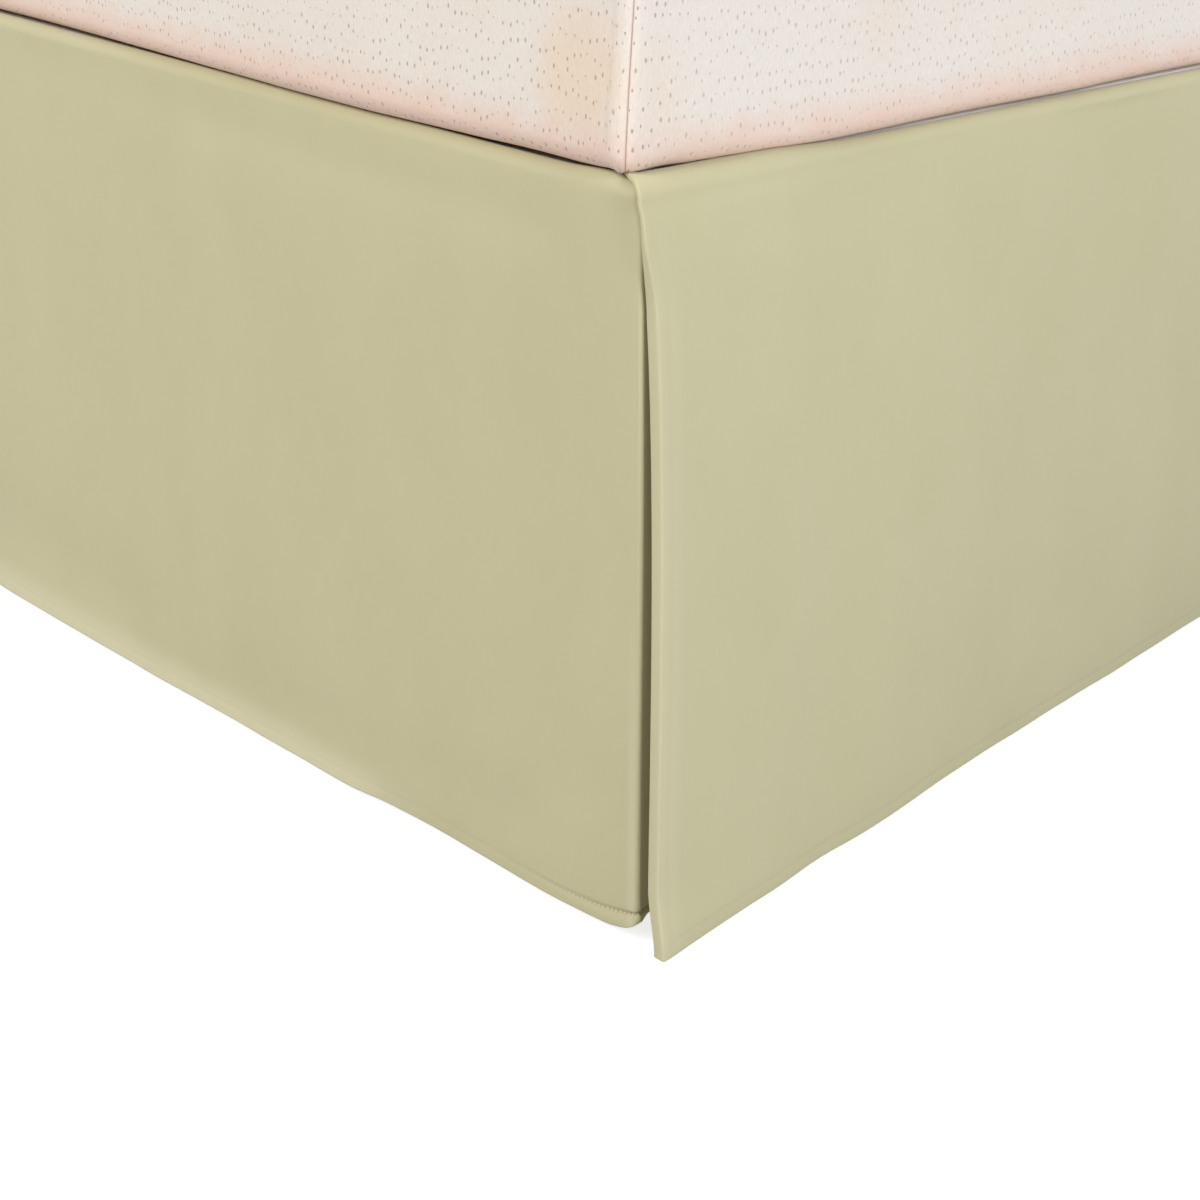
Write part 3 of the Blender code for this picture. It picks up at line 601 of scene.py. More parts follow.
def sideDrop(name, nodeName, table, side):
    # columns from the hidden seam forward to the fold, half a turn round it, and on to the head;
    # the fold is half a squared ellipse: place - depth * sin^p, out by width * (1 - cos^p) / 2
    rows = dropRows(hanging["sideHem"])
    down = rows["down"]
    opening = smooth(down / pleat["foldOpenBy"])
    opened = pleat["foldRoll"] * opening
    drawnBack = pleat["foldMitre"] * np.maximum(0.0, -outAt(rows, pleat["innerLift"], 0.0))
    settlesOver = pleat["foldPlaceBy"] - pleat["foldPlaceFrom"]
    settling = smooth((down - pleat["foldPlaceFrom"]) / settlesOver)
    foldAlong = blend(pleat["foldPlaceTop"] + drawnBack, pleat["foldPlaceHem"], settling)
    outerHang = hangOut(table, foldAlong, down)

    share = np.linspace(0, 1, columnPlan["onHidden"])[:-1, None]
    backAlong = blend(pleat["depth"] + 0 * down, foldAlong, share)
    hidden = smooth((backAlong - foldAlong) / (pleat["depth"] - foldAlong))
    seamHang = hangOut(returnHang, pleat["depth"] + 0 * down, down)
    backHang = blend(outerHang - opened, seamHang, hidden)
    backLift = pleat["middleLift"] + 0 * backAlong

    turn = math.pi * np.linspace(0, 1, columnPlan["onFold"])[:, None]
    power = 2 / (2 + pleat["foldSquareness"] * opening)
    width = pleat["outerLift"] - pleat["middleLift"]
    depth = blend(width / 2, pleat["foldDepthOpen"], opening)
    swung = (1 - np.sign(np.cos(turn)) * np.abs(np.cos(turn)) ** power) / 2
    foldY = foldAlong - depth * np.abs(np.sin(turn)) ** power
    foldLift = pleat["middleLift"] + width * swung
    foldHang = outerHang - opened * (1 - swung)

    onward = spacing(*columnPlan["side"])[1:, None]
    outAlong = blend(foldAlong, skirtLength + 0 * down, onward / skirtLength)
    leaving = smooth((outAlong - pleat["depth"]) / (pleat["liftEnds"] - pleat["depth"]))
    outLift = blend(pleat["outerLift"], pleat["innerLift"], leaving)
    extra = softCreases(sideCreases, outAlong, rows["hemHeight"] + rows["rise"])
    extra = extra + slightWaves(outAlong, down, hanging["sidePhase"] * side)
    extra = extra * smooth(outAlong / hanging["creasesFrom"])
    extra = extra + hemRelief(rows, outAlong, hemSewing["onSide"])
    outHang = hangOut(table, outAlong, down) + extra * rows["isHanging"]

    along = np.concatenate([backAlong, foldY, outAlong])
    lift = np.concatenate([backLift, foldLift, outLift])
    hang = np.concatenate([backHang, foldHang, outHang])
    x = halfWidth + outAt(rows, lift, hang)
    y = footY + along
    z = heightAt(rows, lift, x, y)
    step = np.hypot(np.diff(x[:, 0]), np.diff(y[:, 0]))
    girth = np.concatenate([[0.0], np.cumsum(step)])
    # painted highlight along the crest of the side drop's fold
    crest = np.concatenate([
        np.full(len(backAlong), 1.0), np.full(len(foldY), paintedHighlights["foldPlace"]), onward[:, 0],
    ])
    nearCrest = np.exp(-(((crest[:, None] - paintedHighlights["crestPlace"]) / paintedHighlights["crestWidth"]) ** 2))
    paintedHighlight = paintedHighlights["crestShare"] * nearCrest * smooth(down / paintedHighlights["crestOver"])
    if side < 0:
        x, y, z, girth = -x[::-1], y[::-1], z[::-1], girth[-1] - girth[::-1]
        paintedHighlight = paintedHighlight[::-1]
    piece = gridMesh(name, x, y, z, girth[:, None], rows["girth"][None, :],
                     marks={"paintedHighlight": paintedHighlight})
    finishSheet(piece, rows, nodeName)


# materials: groups first


def newGroup(name, inputs, outputs):
    # a shader node group with named sockets; returns its tree and its two end nodes
    tree = bpy.data.node_groups.new(name, "ShaderNodeTree")
    for label, kind, value in inputs:
        socket = tree.interface.new_socket(name=label, in_out="INPUT", socket_type=kind)
        if value is not None:
            socket.default_value = value
    for label, kind in outputs:
        tree.interface.new_socket(name=label, in_out="OUTPUT", socket_type=kind)
    return tree, tree.nodes.new("NodeGroupInput"), tree.nodes.new("NodeGroupOutput")


class Wiring:
    # short calls that add a node to a tree and link what feeds it

    def __init__(self, tree):
        self.tree = tree

    def feed(self, socket, value):
        if isinstance(value, bpy.types.NodeSocket):
            self.tree.links.new(value, socket)
        else:
            socket.default_value = value

    def math(self, operation, a, b=0.0):
        node = self.tree.nodes.new("ShaderNodeMath")
        node.operation = operation
        for socket, value in zip(node.inputs, (a, b)):
            self.feed(socket, value)
        return node.outputs[0]

    def times(self, a, b):
        return self.math("MULTIPLY", a, b)

    def plus(self, a, b):
        return self.math("ADD", a, b)

    def minus(self, a, b):
        return self.math("SUBTRACT", a, b)

    def ridges(self, value, rate):
        # |sin(value * rate)|: one ridge for every half turn
        return self.math("ABSOLUTE", self.math("SINE", self.times(value, rate)))

    def stretched(self, place, by):
        return self.vector("MULTIPLY", place, by)

    def split(self, place):
        node = self.tree.nodes.new("ShaderNodeSeparateXYZ")
        self.feed(node.inputs[0], place)
        return node.outputs

    def vector(self, operation, a, b):
        node = self.tree.nodes.new("ShaderNodeVectorMath")
        node.operation = operation
        self.feed(node.inputs[0], a)
        self.feed(node.inputs[1], b)
        return node.outputs[0]

    def noise(self, vector, scale, detail=2.0, rough=0.5):
        node = self.tree.nodes.new("ShaderNodeTexNoise")
        self.feed(node.inputs["Vector"], vector)
        self.feed(node.inputs["Scale"], scale)
        node.inputs["Detail"].default_value = detail
        node.inputs["Roughness"].default_value = rough
        return node.outputs["Fac"]

    def spread(self, value, low, high, toLow=0.0, toHigh=1.0):
        node = self.tree.nodes.new("ShaderNodeMapRange")
        node.interpolation_type = "SMOOTHSTEP"
        for label, number in (("Value", value), ("From Min", low), ("From Max", high),
                              ("To Min", toLow), ("To Max", toHigh)):
            self.feed(node.inputs[label], number)
        return node.outputs["Result"]

    def mix(self, share, a, b):
        node = self.tree.nodes.new("ShaderNodeMix")
        node.data_type = "RGBA"
        self.feed(node.inputs["Factor"], share)
        self.feed(node.inputs[6], a)
        self.feed(node.inputs[7], b)
        return node.outputs[2]

    def group(self, tree, **values):
        node = self.tree.nodes.new("ShaderNodeGroup")
        node.node_tree = tree
        for label, value in values.items():
            self.feed(node.inputs[label], value)
        return node.outputs

    def bump(self, height, strength, distance):
        node = self.tree.nodes.new("ShaderNodeBump")
        self.feed(node.inputs["Height"], height)
        node.inputs["Strength"].default_value = strength
        node.inputs["Distance"].default_value = distance
        return node.outputs["Normal"]


weaving = {
    "threads": 2600.0,                               # in a metre
    "warpSlubs": ((1.0, 0.035, 1.0), 1300.0, 0.62),  # stretch, scale of the noise, share
    "weftSlubs": ((0.04, 1.0, 1.0), 1100.0, 0.38),
    "threadHeight": 0.55,
    "slubHeight": 0.9,
}
sewing = {
    "height": 0.0072,              # of the stitch line up the cloth
    "pitch": 0.0027,
    "dash": (0.30, 0.38),          # where it ends, in shares of the pitch from its middle
    "thread": (0.00012, 0.00030),  # where its edge lies, in metres from the line
    "dent": (0.0002, 0.0009),
    # the needle's hole is only painted shade: it darkens the colour and has no height
    "holeShade": (0.26, 0.42),          # where it begins, in shares of the pitch
    "besideHole": (0.00035, 0.0011),
}


def weaveGroup():
    # warp and weft of a plain weave, with slubs, from a place on the cloth in metres
    tree, start, end = newGroup(
        "plainWeave",
        (("Place", "NodeSocketVector", None),
         ("Threads per metre", "NodeSocketFloat", weaving["threads"])),
        (("Height", "NodeSocketFloat"), ("Streaks", "NodeSocketFloat")),
    )
    w = Wiring(tree)
    place, threads = start.outputs[0], start.outputs[1]
    scaled = tree.nodes.new("ShaderNodeVectorMath")
    scaled.operation = "SCALE"
    w.feed(scaled.inputs[0], place)
    w.feed(scaled.inputs["Scale"], threads)
    across, up = w.split(scaled.outputs[0])[:2]
    warp = w.ridges(across, math.pi)
    weft = w.ridges(up, math.pi)
    over = w.math("PINGPONG", w.plus(across, up), 1.0)
    woven = w.plus(w.times(warp, over), w.times(weft, w.minus(1.0, over)))
    slubs = [
        w.times(w.noise(w.stretched(place, stretch), scale, 3.0, 0.6), share)
        for stretch, scale, share in (weaving["warpSlubs"], weaving["weftSlubs"])
    ]
    streaks = w.plus(*slubs)
    height = w.plus(w.times(woven, weaving["threadHeight"]), w.times(streaks, weaving["slubHeight"]))
    w.feed(end.inputs["Height"], height)
    w.feed(end.inputs["Streaks"], streaks)
    return tree


def stitchGroup():
    # a row of stitches at one height on the cloth: short raised dashes, each in a dent, with the
    # needle's hole between one dash and the next
    tree, start, end = newGroup(
        "stitchRow",
        (("Place", "NodeSocketVector", None),
         ("Height on cloth", "NodeSocketFloat", sewing["height"]),
         ("Pitch", "NodeSocketFloat", sewing["pitch"])),
        (("Thread", "NodeSocketFloat"), ("Dent", "NodeSocketFloat"), ("Hole", "NodeSocketFloat")),
    )
    w = Wiring(tree)
    across, up = w.split(start.outputs["Place"])[:2]
    cycle = w.math("FRACT", w.math("DIVIDE", across, start.outputs["Pitch"]))
    lengthwise = w.math("ABSOLUTE", w.minus(cycle, 0.5))
    crosswise = w.math("ABSOLUTE", w.minus(up, start.outputs["Height on cloth"]))
    inDash = w.spread(lengthwise, *sewing["dash"], 1.0, 0.0)
    onLine = w.spread(crosswise, *sewing["thread"], 1.0, 0.0)
    w.feed(end.inputs["Thread"], w.times(inDash, onLine))
    w.feed(end.inputs["Dent"], w.spread(crosswise, *sewing["dent"], 1.0, 0.0))
    # mask of the painted shade in the needle's holes
    between = w.spread(lengthwise, *sewing["holeShade"], 0.0, 1.0)
    nearLine = w.spread(crosswise, *sewing["besideHole"], 1.0, 0.0)
    w.feed(end.inputs["Hole"], w.times(between, nearLine))
    return tree


weave = weaveGroup()
stitches = stitchGroup()


def newMaterial(name, surface):
    # what is the same all over a surface goes straight on the shader's own sockets
    made = bpy.data.materials.new(name)
    made.use_nodes = True
    shader = made.node_tree.nodes["Principled BSDF"]
    for label, value in surface.items():
        shader.inputs[label].default_value = value
    return made, shader, Wiring(made.node_tree)


def onCloth(w):
    node = w.tree.nodes.new("ShaderNodeUVMap")
    node.uv_map = "onCloth"
    return node.outputs["UV"]


def mark(w, label):
    node = w.tree.nodes.new("ShaderNodeAttribute")
    node.attribute_name = label
    return node.outputs["Fac"]


def onObject(w):
    return w.tree.nodes.new("ShaderNodeTexCoord").outputs["Object"]


skirtLook = {
    "colour": (0.548, 0.512, 0.322, 1.0),
    # a darker tone for the patches and streaks, also used as painted shade in the stitch line's dent
    "deepToneAndDentShade": (0.500, 0.462, 0.272, 1.0),
    "thread": (0.600, 0.565, 0.385, 1.0),
    # painted shade in the needle's holes
    "holeShade": (0.300, 0.270, 0.140, 1.0),
    # the paler tone of the painted highlights
    "paintedHighlight": (0.625, 0.590, 0.410, 1.0),
    "patchSize": 14.0,         # noise over the cloth; a larger number makes smaller patches
    "patchesShow": 0.35,       # how strongly each of these shows, from 0 to 1
    "streaksShow": 0.16,
    "paintedHighlightShows": 0.75,
    "dentShadeShows": 0.7,
    "threadShows": 0.8,
    "holeShadeShows": 0.55,
    "bump": (0.35, 0.00012),   # strength, and height of the weave
    "surface": {"Roughness": 0.72, "Sheen Weight": 0.22, "Sheen Roughness": 0.45,
                "Specular IOR Level": 0.25},
}


def skirtMaterial(values):
    made, shader, w = newMaterial("sageMicrofibre", values["surface"])
    place = onCloth(w)
    woven = w.group(weave, Place=place)
    patches = w.noise(w.stretched(place, (1.0, 0.6, 1.0)), values["patchSize"], 3.0, 0.55)
    patches = w.spread(patches, 0.3, 0.75, 0.0, values["patchesShow"])
    colour = w.mix(patches, values["colour"], values["deepToneAndDentShade"])
    streaks = w.spread(woven["Streaks"], 0.40, 0.62, values["streaksShow"], 0.0)
    colour = w.mix(streaks, colour, values["deepToneAndDentShade"])
    # painted highlight along the folds and the foot drop's hem
    colour = w.mix(w.times(mark(w, "paintedHighlight"), values["paintedHighlightShows"]), colour, values["paintedHighlight"])
    sewn = w.group(stitches, Place=place)
    shows = w.spread(mark(w, "drawn"), 0.0, 0.6, 0.15, 1.0)
    # painted shade in the stitch line's dent and in the needle's holes; the thread keeps its own paler
    # colour
    for part, strength, tone in (("Dent", "dentShadeShows", "deepToneAndDentShade"), ("Thread", "threadShows", "thread"),
                                 ("Hole", "holeShadeShows", "holeShade")):
        share = w.times(sewn[part], w.times(shows, values[strength]))
        colour = w.mix(share, colour, values[tone])
    w.feed(shader.inputs["Base Color"], colour)
    height = w.plus(woven["Height"], w.times(sewn["Thread"], 1.2))
    height = w.minus(height, sewn["Dent"])
    w.feed(shader.inputs["Normal"], w.bump(height, *values["bump"]))
    return made


skirtCloth = skirtMaterial(skirtLook)
footDrop()
sideDrop("skirtSideDropRight", "skirt_side_drop_right", rightHang, 1)
sideDrop("skirtSideDropLeft", "skirt_side_drop_left", leftHang, -1)
print("skirt drops hung")

# the deck that joins the drops under the mattress

deckLook = {
    "colour": (0.79, 0.78, 0.75, 1.0),
    "shade": (0.70, 0.69, 0.66, 1.0),
    "threads": 1500.0,         # in a metre
    "cornerRadius": 0.003,
    "cornerLines": 7,
    "lines": 81,
    "columns": 61,
    "surface": {"Roughness": 0.85, "Specular IOR Level": 0.2},
}


def deckMaterial(values):
    made, shader, w = newMaterial("whiteBacking", values["surface"])
    place = onCloth(w)
    woven = w.group(weave, **{"Place": place, "Threads per metre": values["threads"]})
    patches = w.noise(place, 9.0, 3.0)
    colour = w.mix(w.spread(patches, 0.35, 0.7, 0.0, 0.5), values["colour"], values["shade"])
    colour = w.mix(w.spread(woven["Streaks"], 0.4, 0.6, 0.3, 0.0), colour, values["shade"])
    w.feed(shader.inputs["Base Color"], colour)
    w.feed(shader.inputs["Normal"], w.bump(woven["Height"], 0.4, 0.00015))
    return made


def deckSheet():
    # a flat grid, z constant, whose thickness goes down to the foundation; near its ends, at
    # distance d, it is narrower by r - sqrt(r^2 - (r - d)^2), which rounds its corners
    low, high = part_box("skirt_deck")
    radius = deckLook["cornerRadius"]
    ends = radius * (1 - np.cos(np.linspace(0, math.pi / 2, deckLook["cornerLines"])))
    middle = np.linspace(low[1] + radius, high[1] - radius, deckLook["lines"])[1:-1]
    lines = np.concatenate([low[1] + ends, middle, high[1] - ends[::-1]])
    x, y = np.meshgrid(np.linspace(low[0], high[0], deckLook["columns"]), lines, indexing="ij")
    fromEnd = np.minimum(np.minimum(y - low[1], high[1] - y), radius)
    narrower = radius - np.sqrt(np.maximum(radius**2 - (radius - fromEnd) ** 2, 0))
    x = x * (1 - narrower / high[0])
    z = np.full_like(x, high[2])
    piece = gridMesh("skirtDeck", x, y, z, x - low[0], y - low[1])
    thick = piece.modifiers.new("thickness of the cloth", "SOLIDIFY")
    thick.thickness = high[2] - low[2]
    thick.offset = -1
    piece.data.materials.append(deckMaterial(deckLook))
    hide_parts("skirt_deck")
    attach(piece, "root")


deckSheet()
print("deck laid")

# the mattress in its knitted cover

mattress = {
    "outFoot": 0.0010,         # of its walls past the skirt's hanging planes
    "outSide": -0.0018,
    "outHead": -0.0030,
    "planRadius": 0.012,
    "lowerRadius": 0.011,
    "upperRadius": 0.022,
    "clearance": 0.0004,       # over the skirt's folded layers
    "lean": 0.0026,            # of the right foot corner, towards the foot
    "leanReach": 0.030,
    "seamWidth": 0.00036,
    "seamDepth": 0.0005,
    "seamSwell": 0.0002,
    "crown": 0.004,
    "leastRadius": 0.001,
    "leanHeight": 0.16,        # height at which the lean has died out
    "leanAcross": 0.8,
    "swellPlace": 0.0032,      # of the low swells beside a seam
    "swellWidth": 0.0022,
    "uneven": (0.0006, 0.0004),   # two long sines round the walls
    "drawnIn": 0.0010,         # of the walls' middle
    "rowsOnTurn": 15,
    "rowsOnWall": 24,
    "columnsOnCorner": 45,
    "columnsOnSide": 230,
    "columnsOnFoot": 190,
    "crowding": 0.75,          # of columns towards the corners
    "crowdingAtSeam": 1.5,
    "patternApart": 20.0,      # keeps the flat panels' pattern away from the walls' own
    "fitsBelow": 0.3,          # share of its height in which it follows the skirt's top
    "deckOver": 0.012,         # lengths over which the skirt's top changes from part to part
    "foldBefore": 0.004,
    "foldOver": 0.002,
}
# distance from the corner's seam, height of the lower edge over the bottom, bow of the wall
footEdge = (
    (0.000, 0.00165, 0.0), (0.012, 0.0042, 0.0), (0.024, 0.0037, 0.0), (0.037, 0.0033, 0.0),
    (0.050, 0.0033, 0.0), (0.064, 0.0033, 0.0), (0.080, 0.0031, 0.0), (0.100, 0.0026, 0.0),
    (0.125, 0.0022, 0.0), (0.150, 0.0020, 0.0007), (0.180, 0.0020, 0.0023),
    (0.215, 0.0020, 0.0024), (0.250, 0.0020, 0.0023), (0.290, 0.0020, 0.0010),
    (0.330, 0.0020, 0.0000), (0.370, 0.0020, -0.0014), (0.410, 0.0020, -0.0026),
    (0.450, 0.0020, -0.0038), (0.500, 0.0020, -0.0048), (0.600, 0.0020, -0.0044),
    (0.800, 0.0020, -0.0010), (1.000, 0.0020, 0.0010), (1.200, 0.0020, -0.0008),
    (1.350, 0.0022, 0.0), (1.420, 0.0032, 0.0), (1.480, 0.0045, 0.0), (1.500, 0.0018, 0.0),
)
sideEdge = (
    (0.000, 0.00165, 0.0), (0.012, 0.0036, 0.0), (0.024, 0.0044, 0.0), (0.037, 0.0040, 0.0),
    (0.050, 0.0036, 0.0), (0.064, 0.0030, 0.0), (0.080, 0.0023, 0.0), (0.100, 0.0020, 0.0007),
    (0.125, 0.0020, 0.0009), (0.150, 0.0020, 0.0007), (0.180, 0.0020, 0.0),
    (0.215, 0.0020, -0.0010), (0.250, 0.0020, -0.0013), (0.290, 0.0020, -0.0007),
    (0.330, 0.0020, -0.0002), (0.370, 0.0020, -0.0016), (0.410, 0.0020, -0.0023),
    (0.520, 0.0020, -0.0020), (0.800, 0.0020, 0.0008), (1.100, 0.0020, -0.0015),
    (1.450, 0.0020, 0.0010), (1.800, 0.0020, -0.0008), (2.010, 0.0020, 0.0),
)


def humpHeight(out, lift, inward):
    # top of the skirt across its shoulder: a circle outside, then level to the seam, then the
    # deck; it settles by its distance inward from the nearer of the two edges
    radius2 = (shoulderRadius + lift) ** 2
    circle = np.sqrt(np.maximum(radius2 - np.maximum(out - shoulderOut, 0) ** 2, 0))
    level = blend(shoulderRadius + lift + shoulderZ, topZ + cloth["gap"] + lift,
                  smooth((inward + shoulderOut) / cloth["flatRun"]))
    deckTop = topZ + cloth["gap"] + cloth["thickness"]
    level = blend(level, deckTop, smooth((seamOut - out) / mattress["deckOver"]))
    return np.where(out > shoulderOut, shoulderZ + circle, level)


def skirtTop(x, y):
    # the higher of the side's and the foot's shoulder, with three layers over the pleats
    leaving = smooth((y - footY - pleat["depth"]) / (pleat["liftEnds"] - pleat["depth"]))
    layers = blend(pleat["outerLift"], pleat["innerLift"], leaving)
    fromSide, fromFoot = halfWidth - np.abs(x), y - footY
    inward = np.minimum(fromSide, fromFoot)
    onSide = humpHeight(-fromSide, layers, inward)
    onFoot = humpHeight(-fromFoot, pleat["innerLift"], inward)
    foldLine = pleat["foldMitre"] * fromSide - mattress["foldBefore"]
    onSide = blend(onFoot, onSide, smooth((fromFoot - foldLine) / mattress["foldOver"]))
    return np.maximum(onSide, onFoot) + puffAt(x, y)


def mattressPath():
    # round the plan, anticlockwise from the right foot corner: signs of the inner corner, and the
    # angle of the outward normal; columns crowd towards the corners, and there towards the seam
    def side(count):
        share = np.linspace(0, 1, count)[1:-1]
        return blend(share, smooth(share), mattress["crowding"])

    offSeam = np.linspace(-1, 1, mattress["columnsOnCorner"])
    crowded = np.abs(offSeam) ** mattress["crowdingAtSeam"]
    quarter = 0.5 + 0.5 * np.sign(offSeam) * crowded
    a, b, angle = [], [], []
    corners = ((1, -1, -90), (1, 1, 0), (-1, 1, 90), (-1, -1, 180))
    for i, (ca, cb, start) in enumerate(corners):
        na, nb, _ = corners[(i + 1) % 4]
        run = side(mattress["columnsOnSide" if ca == na else "columnsOnFoot"])
        a += [np.full(len(quarter), float(ca)), blend(ca, na, run)]
        b += [np.full(len(quarter), float(cb)), blend(cb, nb, run)]
        angle += [np.radians(start + 90 * quarter), np.full(len(run), math.radians(start + 90))]
    return np.concatenate(a), np.concatenate(b), np.concatenate(angle)


def mattressSurface():
    # a profile (underside, lower rounding, wall, upper rounding, top) carried round the plan path:
    # at inset d the corner's centre moves in by d + r and r = max(plan - d, 1 mm)
    bottomZ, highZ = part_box("mattress")[0][2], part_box("mattress")[1][2]
    halfX = halfWidth + mattress["outSide"]
    lowY, highY = footY - mattress["outFoot"], headY + mattress["outHead"]
    a, b, angle = (row[:, None] for row in mattressPath())
    plan, lower, upper = mattress["planRadius"], mattress["lowerRadius"], mattress["upperRadius"]

    def placed(inBy):
        radius = np.maximum(plan - inBy, mattress["leastRadius"])
        x = a * (halfX - inBy - radius) + radius * np.cos(angle)
        y = blend(lowY + inBy + radius, highY - inBy - radius, (b + 1) / 2)
        return x, y + radius * np.sin(angle)

    wallX, wallY = placed(0.0)
    step = np.hypot(np.diff(wallX[:, 0]), np.diff(wallY[:, 0]))
    girth = np.concatenate([[0.0], np.cumsum(step)])
    total = girth[-1] + math.hypot(wallX[-1, 0] - wallX[0, 0], wallY[-1, 0] - wallY[0, 0])
    onArc = (np.abs(a) == 1) & (np.abs(b) == 1)
    seams = [
        girth[np.flatnonzero(np.abs(np.degrees(angle[:, 0]) - at) < 1e-6)[0]]
        for at in (-45, 45, 135, 225)
    ]
    g = girth[:, None]
    offSeam = np.min([np.abs(g - seam) for seam in seams], axis=0)
    onFoot = (g >= seams[3]) | (g < seams[0])
    onHead = (g >= seams[1]) & (g < seams[2])
    fromFoot = np.where(g < seams[1], g - seams[0], seams[3] - g)
    acrossFoot = np.where(g < seams[0], seams[0] - g, seams[0] + total - g)
    raised, bow = (
        np.where(onHead, rest, np.where(onFoot, curveThrough(footEdge, column, acrossFoot),
                                        curveThrough(sideEdge, column, fromFoot)))
        for column, rest in ((1, 0.002), (2, 0.0))
    )

    turn = np.linspace(0, math.pi / 2, mattress["rowsOnTurn"])[None, :]
    under = np.array([0.030, 0.022, 0.016, 0.011, 0.007, 0.003])[None, :]
    evenly = np.linspace(0, 1, mattress["rowsOnWall"])
    wall = blend(evenly, smooth(evenly), 0.4)[None, 1:-1]
    wallLow, wallHigh = bottomZ + raised + lower, highZ - upper
    flat = 0 * a
    insets = np.concatenate([
        lower + under + flat, lower * (1 - np.sin(turn)) + flat, 0 * wall + flat,
        upper * (1 - np.sin(turn[:, ::-1])) + flat,
    ], axis=1)
    heights = np.concatenate([
        bottomZ + raised * (1 - smooth(under / 0.022)),
        bottomZ + raised + lower * (1 - np.cos(turn)),
        blend(wallLow, wallHigh, wall),
        highZ - upper * (1 - np.cos(turn[:, ::-1])) + flat,
    ], axis=1)
    upWall = (heights - bottomZ) / (highZ - bottomZ)

    # the sewn seam is a groove between two low swells; the wall itself is barely uneven
    onWall = smooth((heights - bottomZ) / 0.004) * (insets < lower + 1e-6)
    groove = onArc * np.exp(-((offSeam / mattress["seamWidth"]) ** 2)) * onWall
    swell = np.exp(-(((offSeam - mattress["swellPlace"]) / mattress["swellWidth"]) ** 2))
    swell = onArc * swell * onWall
    around = wallX * 11.0 + wallY * 9.0
    long, short = mattress["uneven"]
    soft = long * np.sin(around + 40 * heights) + short * np.sin(2.3 * around - 25 * heights)
    soft = (soft - mattress["drawnIn"]) * smooth(upWall * 4) * smooth((1 - upWall) * 6)
    outward = bow * (1 - 0.6 * smooth(upWall)) + soft
    outward = outward - mattress["seamDepth"] * groove + mattress["seamSwell"] * swell
    x, y = placed(insets)
    x = x + outward * np.cos(angle)
    y = y + outward * np.sin(angle)
    fromSeam = np.minimum(acrossFoot, np.abs(g - seams[0]))
    nearCorner = np.exp(-((fromSeam / mattress["leanReach"]) ** 2))
    leansLow = 1 - smooth((heights - bottomZ) / mattress["leanHeight"])
    lean = mattress["lean"] * nearCorner * leansLow
    x, y = x - lean, y - mattress["leanAcross"] * lean
    overSkirt = skirtTop(x, y) + mattress["clearance"]
    heights = np.maximum(heights, np.where(upWall < mattress["fitsBelow"], overSkirt, 0.0))

    centreY = (lowY + highY) / 2   # the panels shrink towards the middle of the plan
    inner = np.array([0.0, 0.5, 0.8, 0.95])[None, :]
    top = np.array([0.985, 0.95, 0.86, 0.72, 0.55, 0.36, 0.18, 0.0])[None, :]
    allX = np.concatenate([x[:, :1] * inner, x, x[:, -1:] * top], axis=1)
    fromCentre = y - centreY
    allY = np.concatenate([fromCentre[:, :1] * inner, fromCentre, fromCentre[:, -1:] * top], axis=1)
    allY = allY + centreY
    allZ = np.concatenate([
        bottomZ + flat + 0 * inner, heights, highZ + mattress["crown"] * (1 - top**4) + flat,
    ], axis=1)
    seam = np.zeros_like(allZ)
    seam[:, inner.shape[1]:inner.shape[1] + x.shape[1]] = groove
    profile = np.zeros_like(allZ)
    climb = np.sqrt(np.diff(allX)**2 + np.diff(allY)**2 + np.diff(allZ)**2)
    profile[:, 1:] = np.cumsum(climb, axis=1)
    firstWall = inner.shape[1] + under.shape[1]
    profile = profile - profile[:, firstWall][:, None]
    return allX, allY, allZ, g + 0 * allZ, profile, seam, (firstWall, inner.shape[1] + x.shape[1])


def coverPiece():
    x, y, z, u, v, seam, (firstWall, firstTop) = mattressSurface()
    piece = gridMesh("mattressCover", x, y, z, u, v, closed=True, marks={"onSeam": seam})
    mesh = piece.data
    rows = x.shape[1]
    # top and bottom panels take their pattern straight from the plan, not from the walls
    corner = np.zeros(len(mesh.loops), dtype=np.int32)
    mesh.loops.foreach_get("vertex_index", corner)
    faceRow = np.tile(np.arange(rows - 1), x.shape[0]).repeat(4)
    flatPanel = (faceRow < firstWall) | (faceRow >= firstTop - 1)
    uv = np.zeros(len(corner) * 2)
    layer = mesh.uv_layers["onCloth"]
    layer.data.foreach_get("uv", uv)
    uv = uv.reshape(-1, 2)
    for axis, values in enumerate((x, y)):
        uv[flatPanel, axis] = values.reshape(-1)[corner[flatPanel]] + mattress["patternApart"]
    layer.data.foreach_set("uv", uv.reshape(-1))
    solid = bmesh.new()
    solid.from_mesh(mesh)
    bmesh.ops.remove_doubles(solid, verts=solid.verts, dist=0.00001)
    bmesh.ops.recalc_face_normals(solid, faces=solid.faces)
    solid.to_mesh(mesh)
    solid.free()
    mesh.polygons.foreach_set("use_smooth", np.ones(len(mesh.polygons), dtype=bool))
    mesh.materials.append(coverMaterial(coverLook))
    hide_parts("mattress")
    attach(piece, "root")


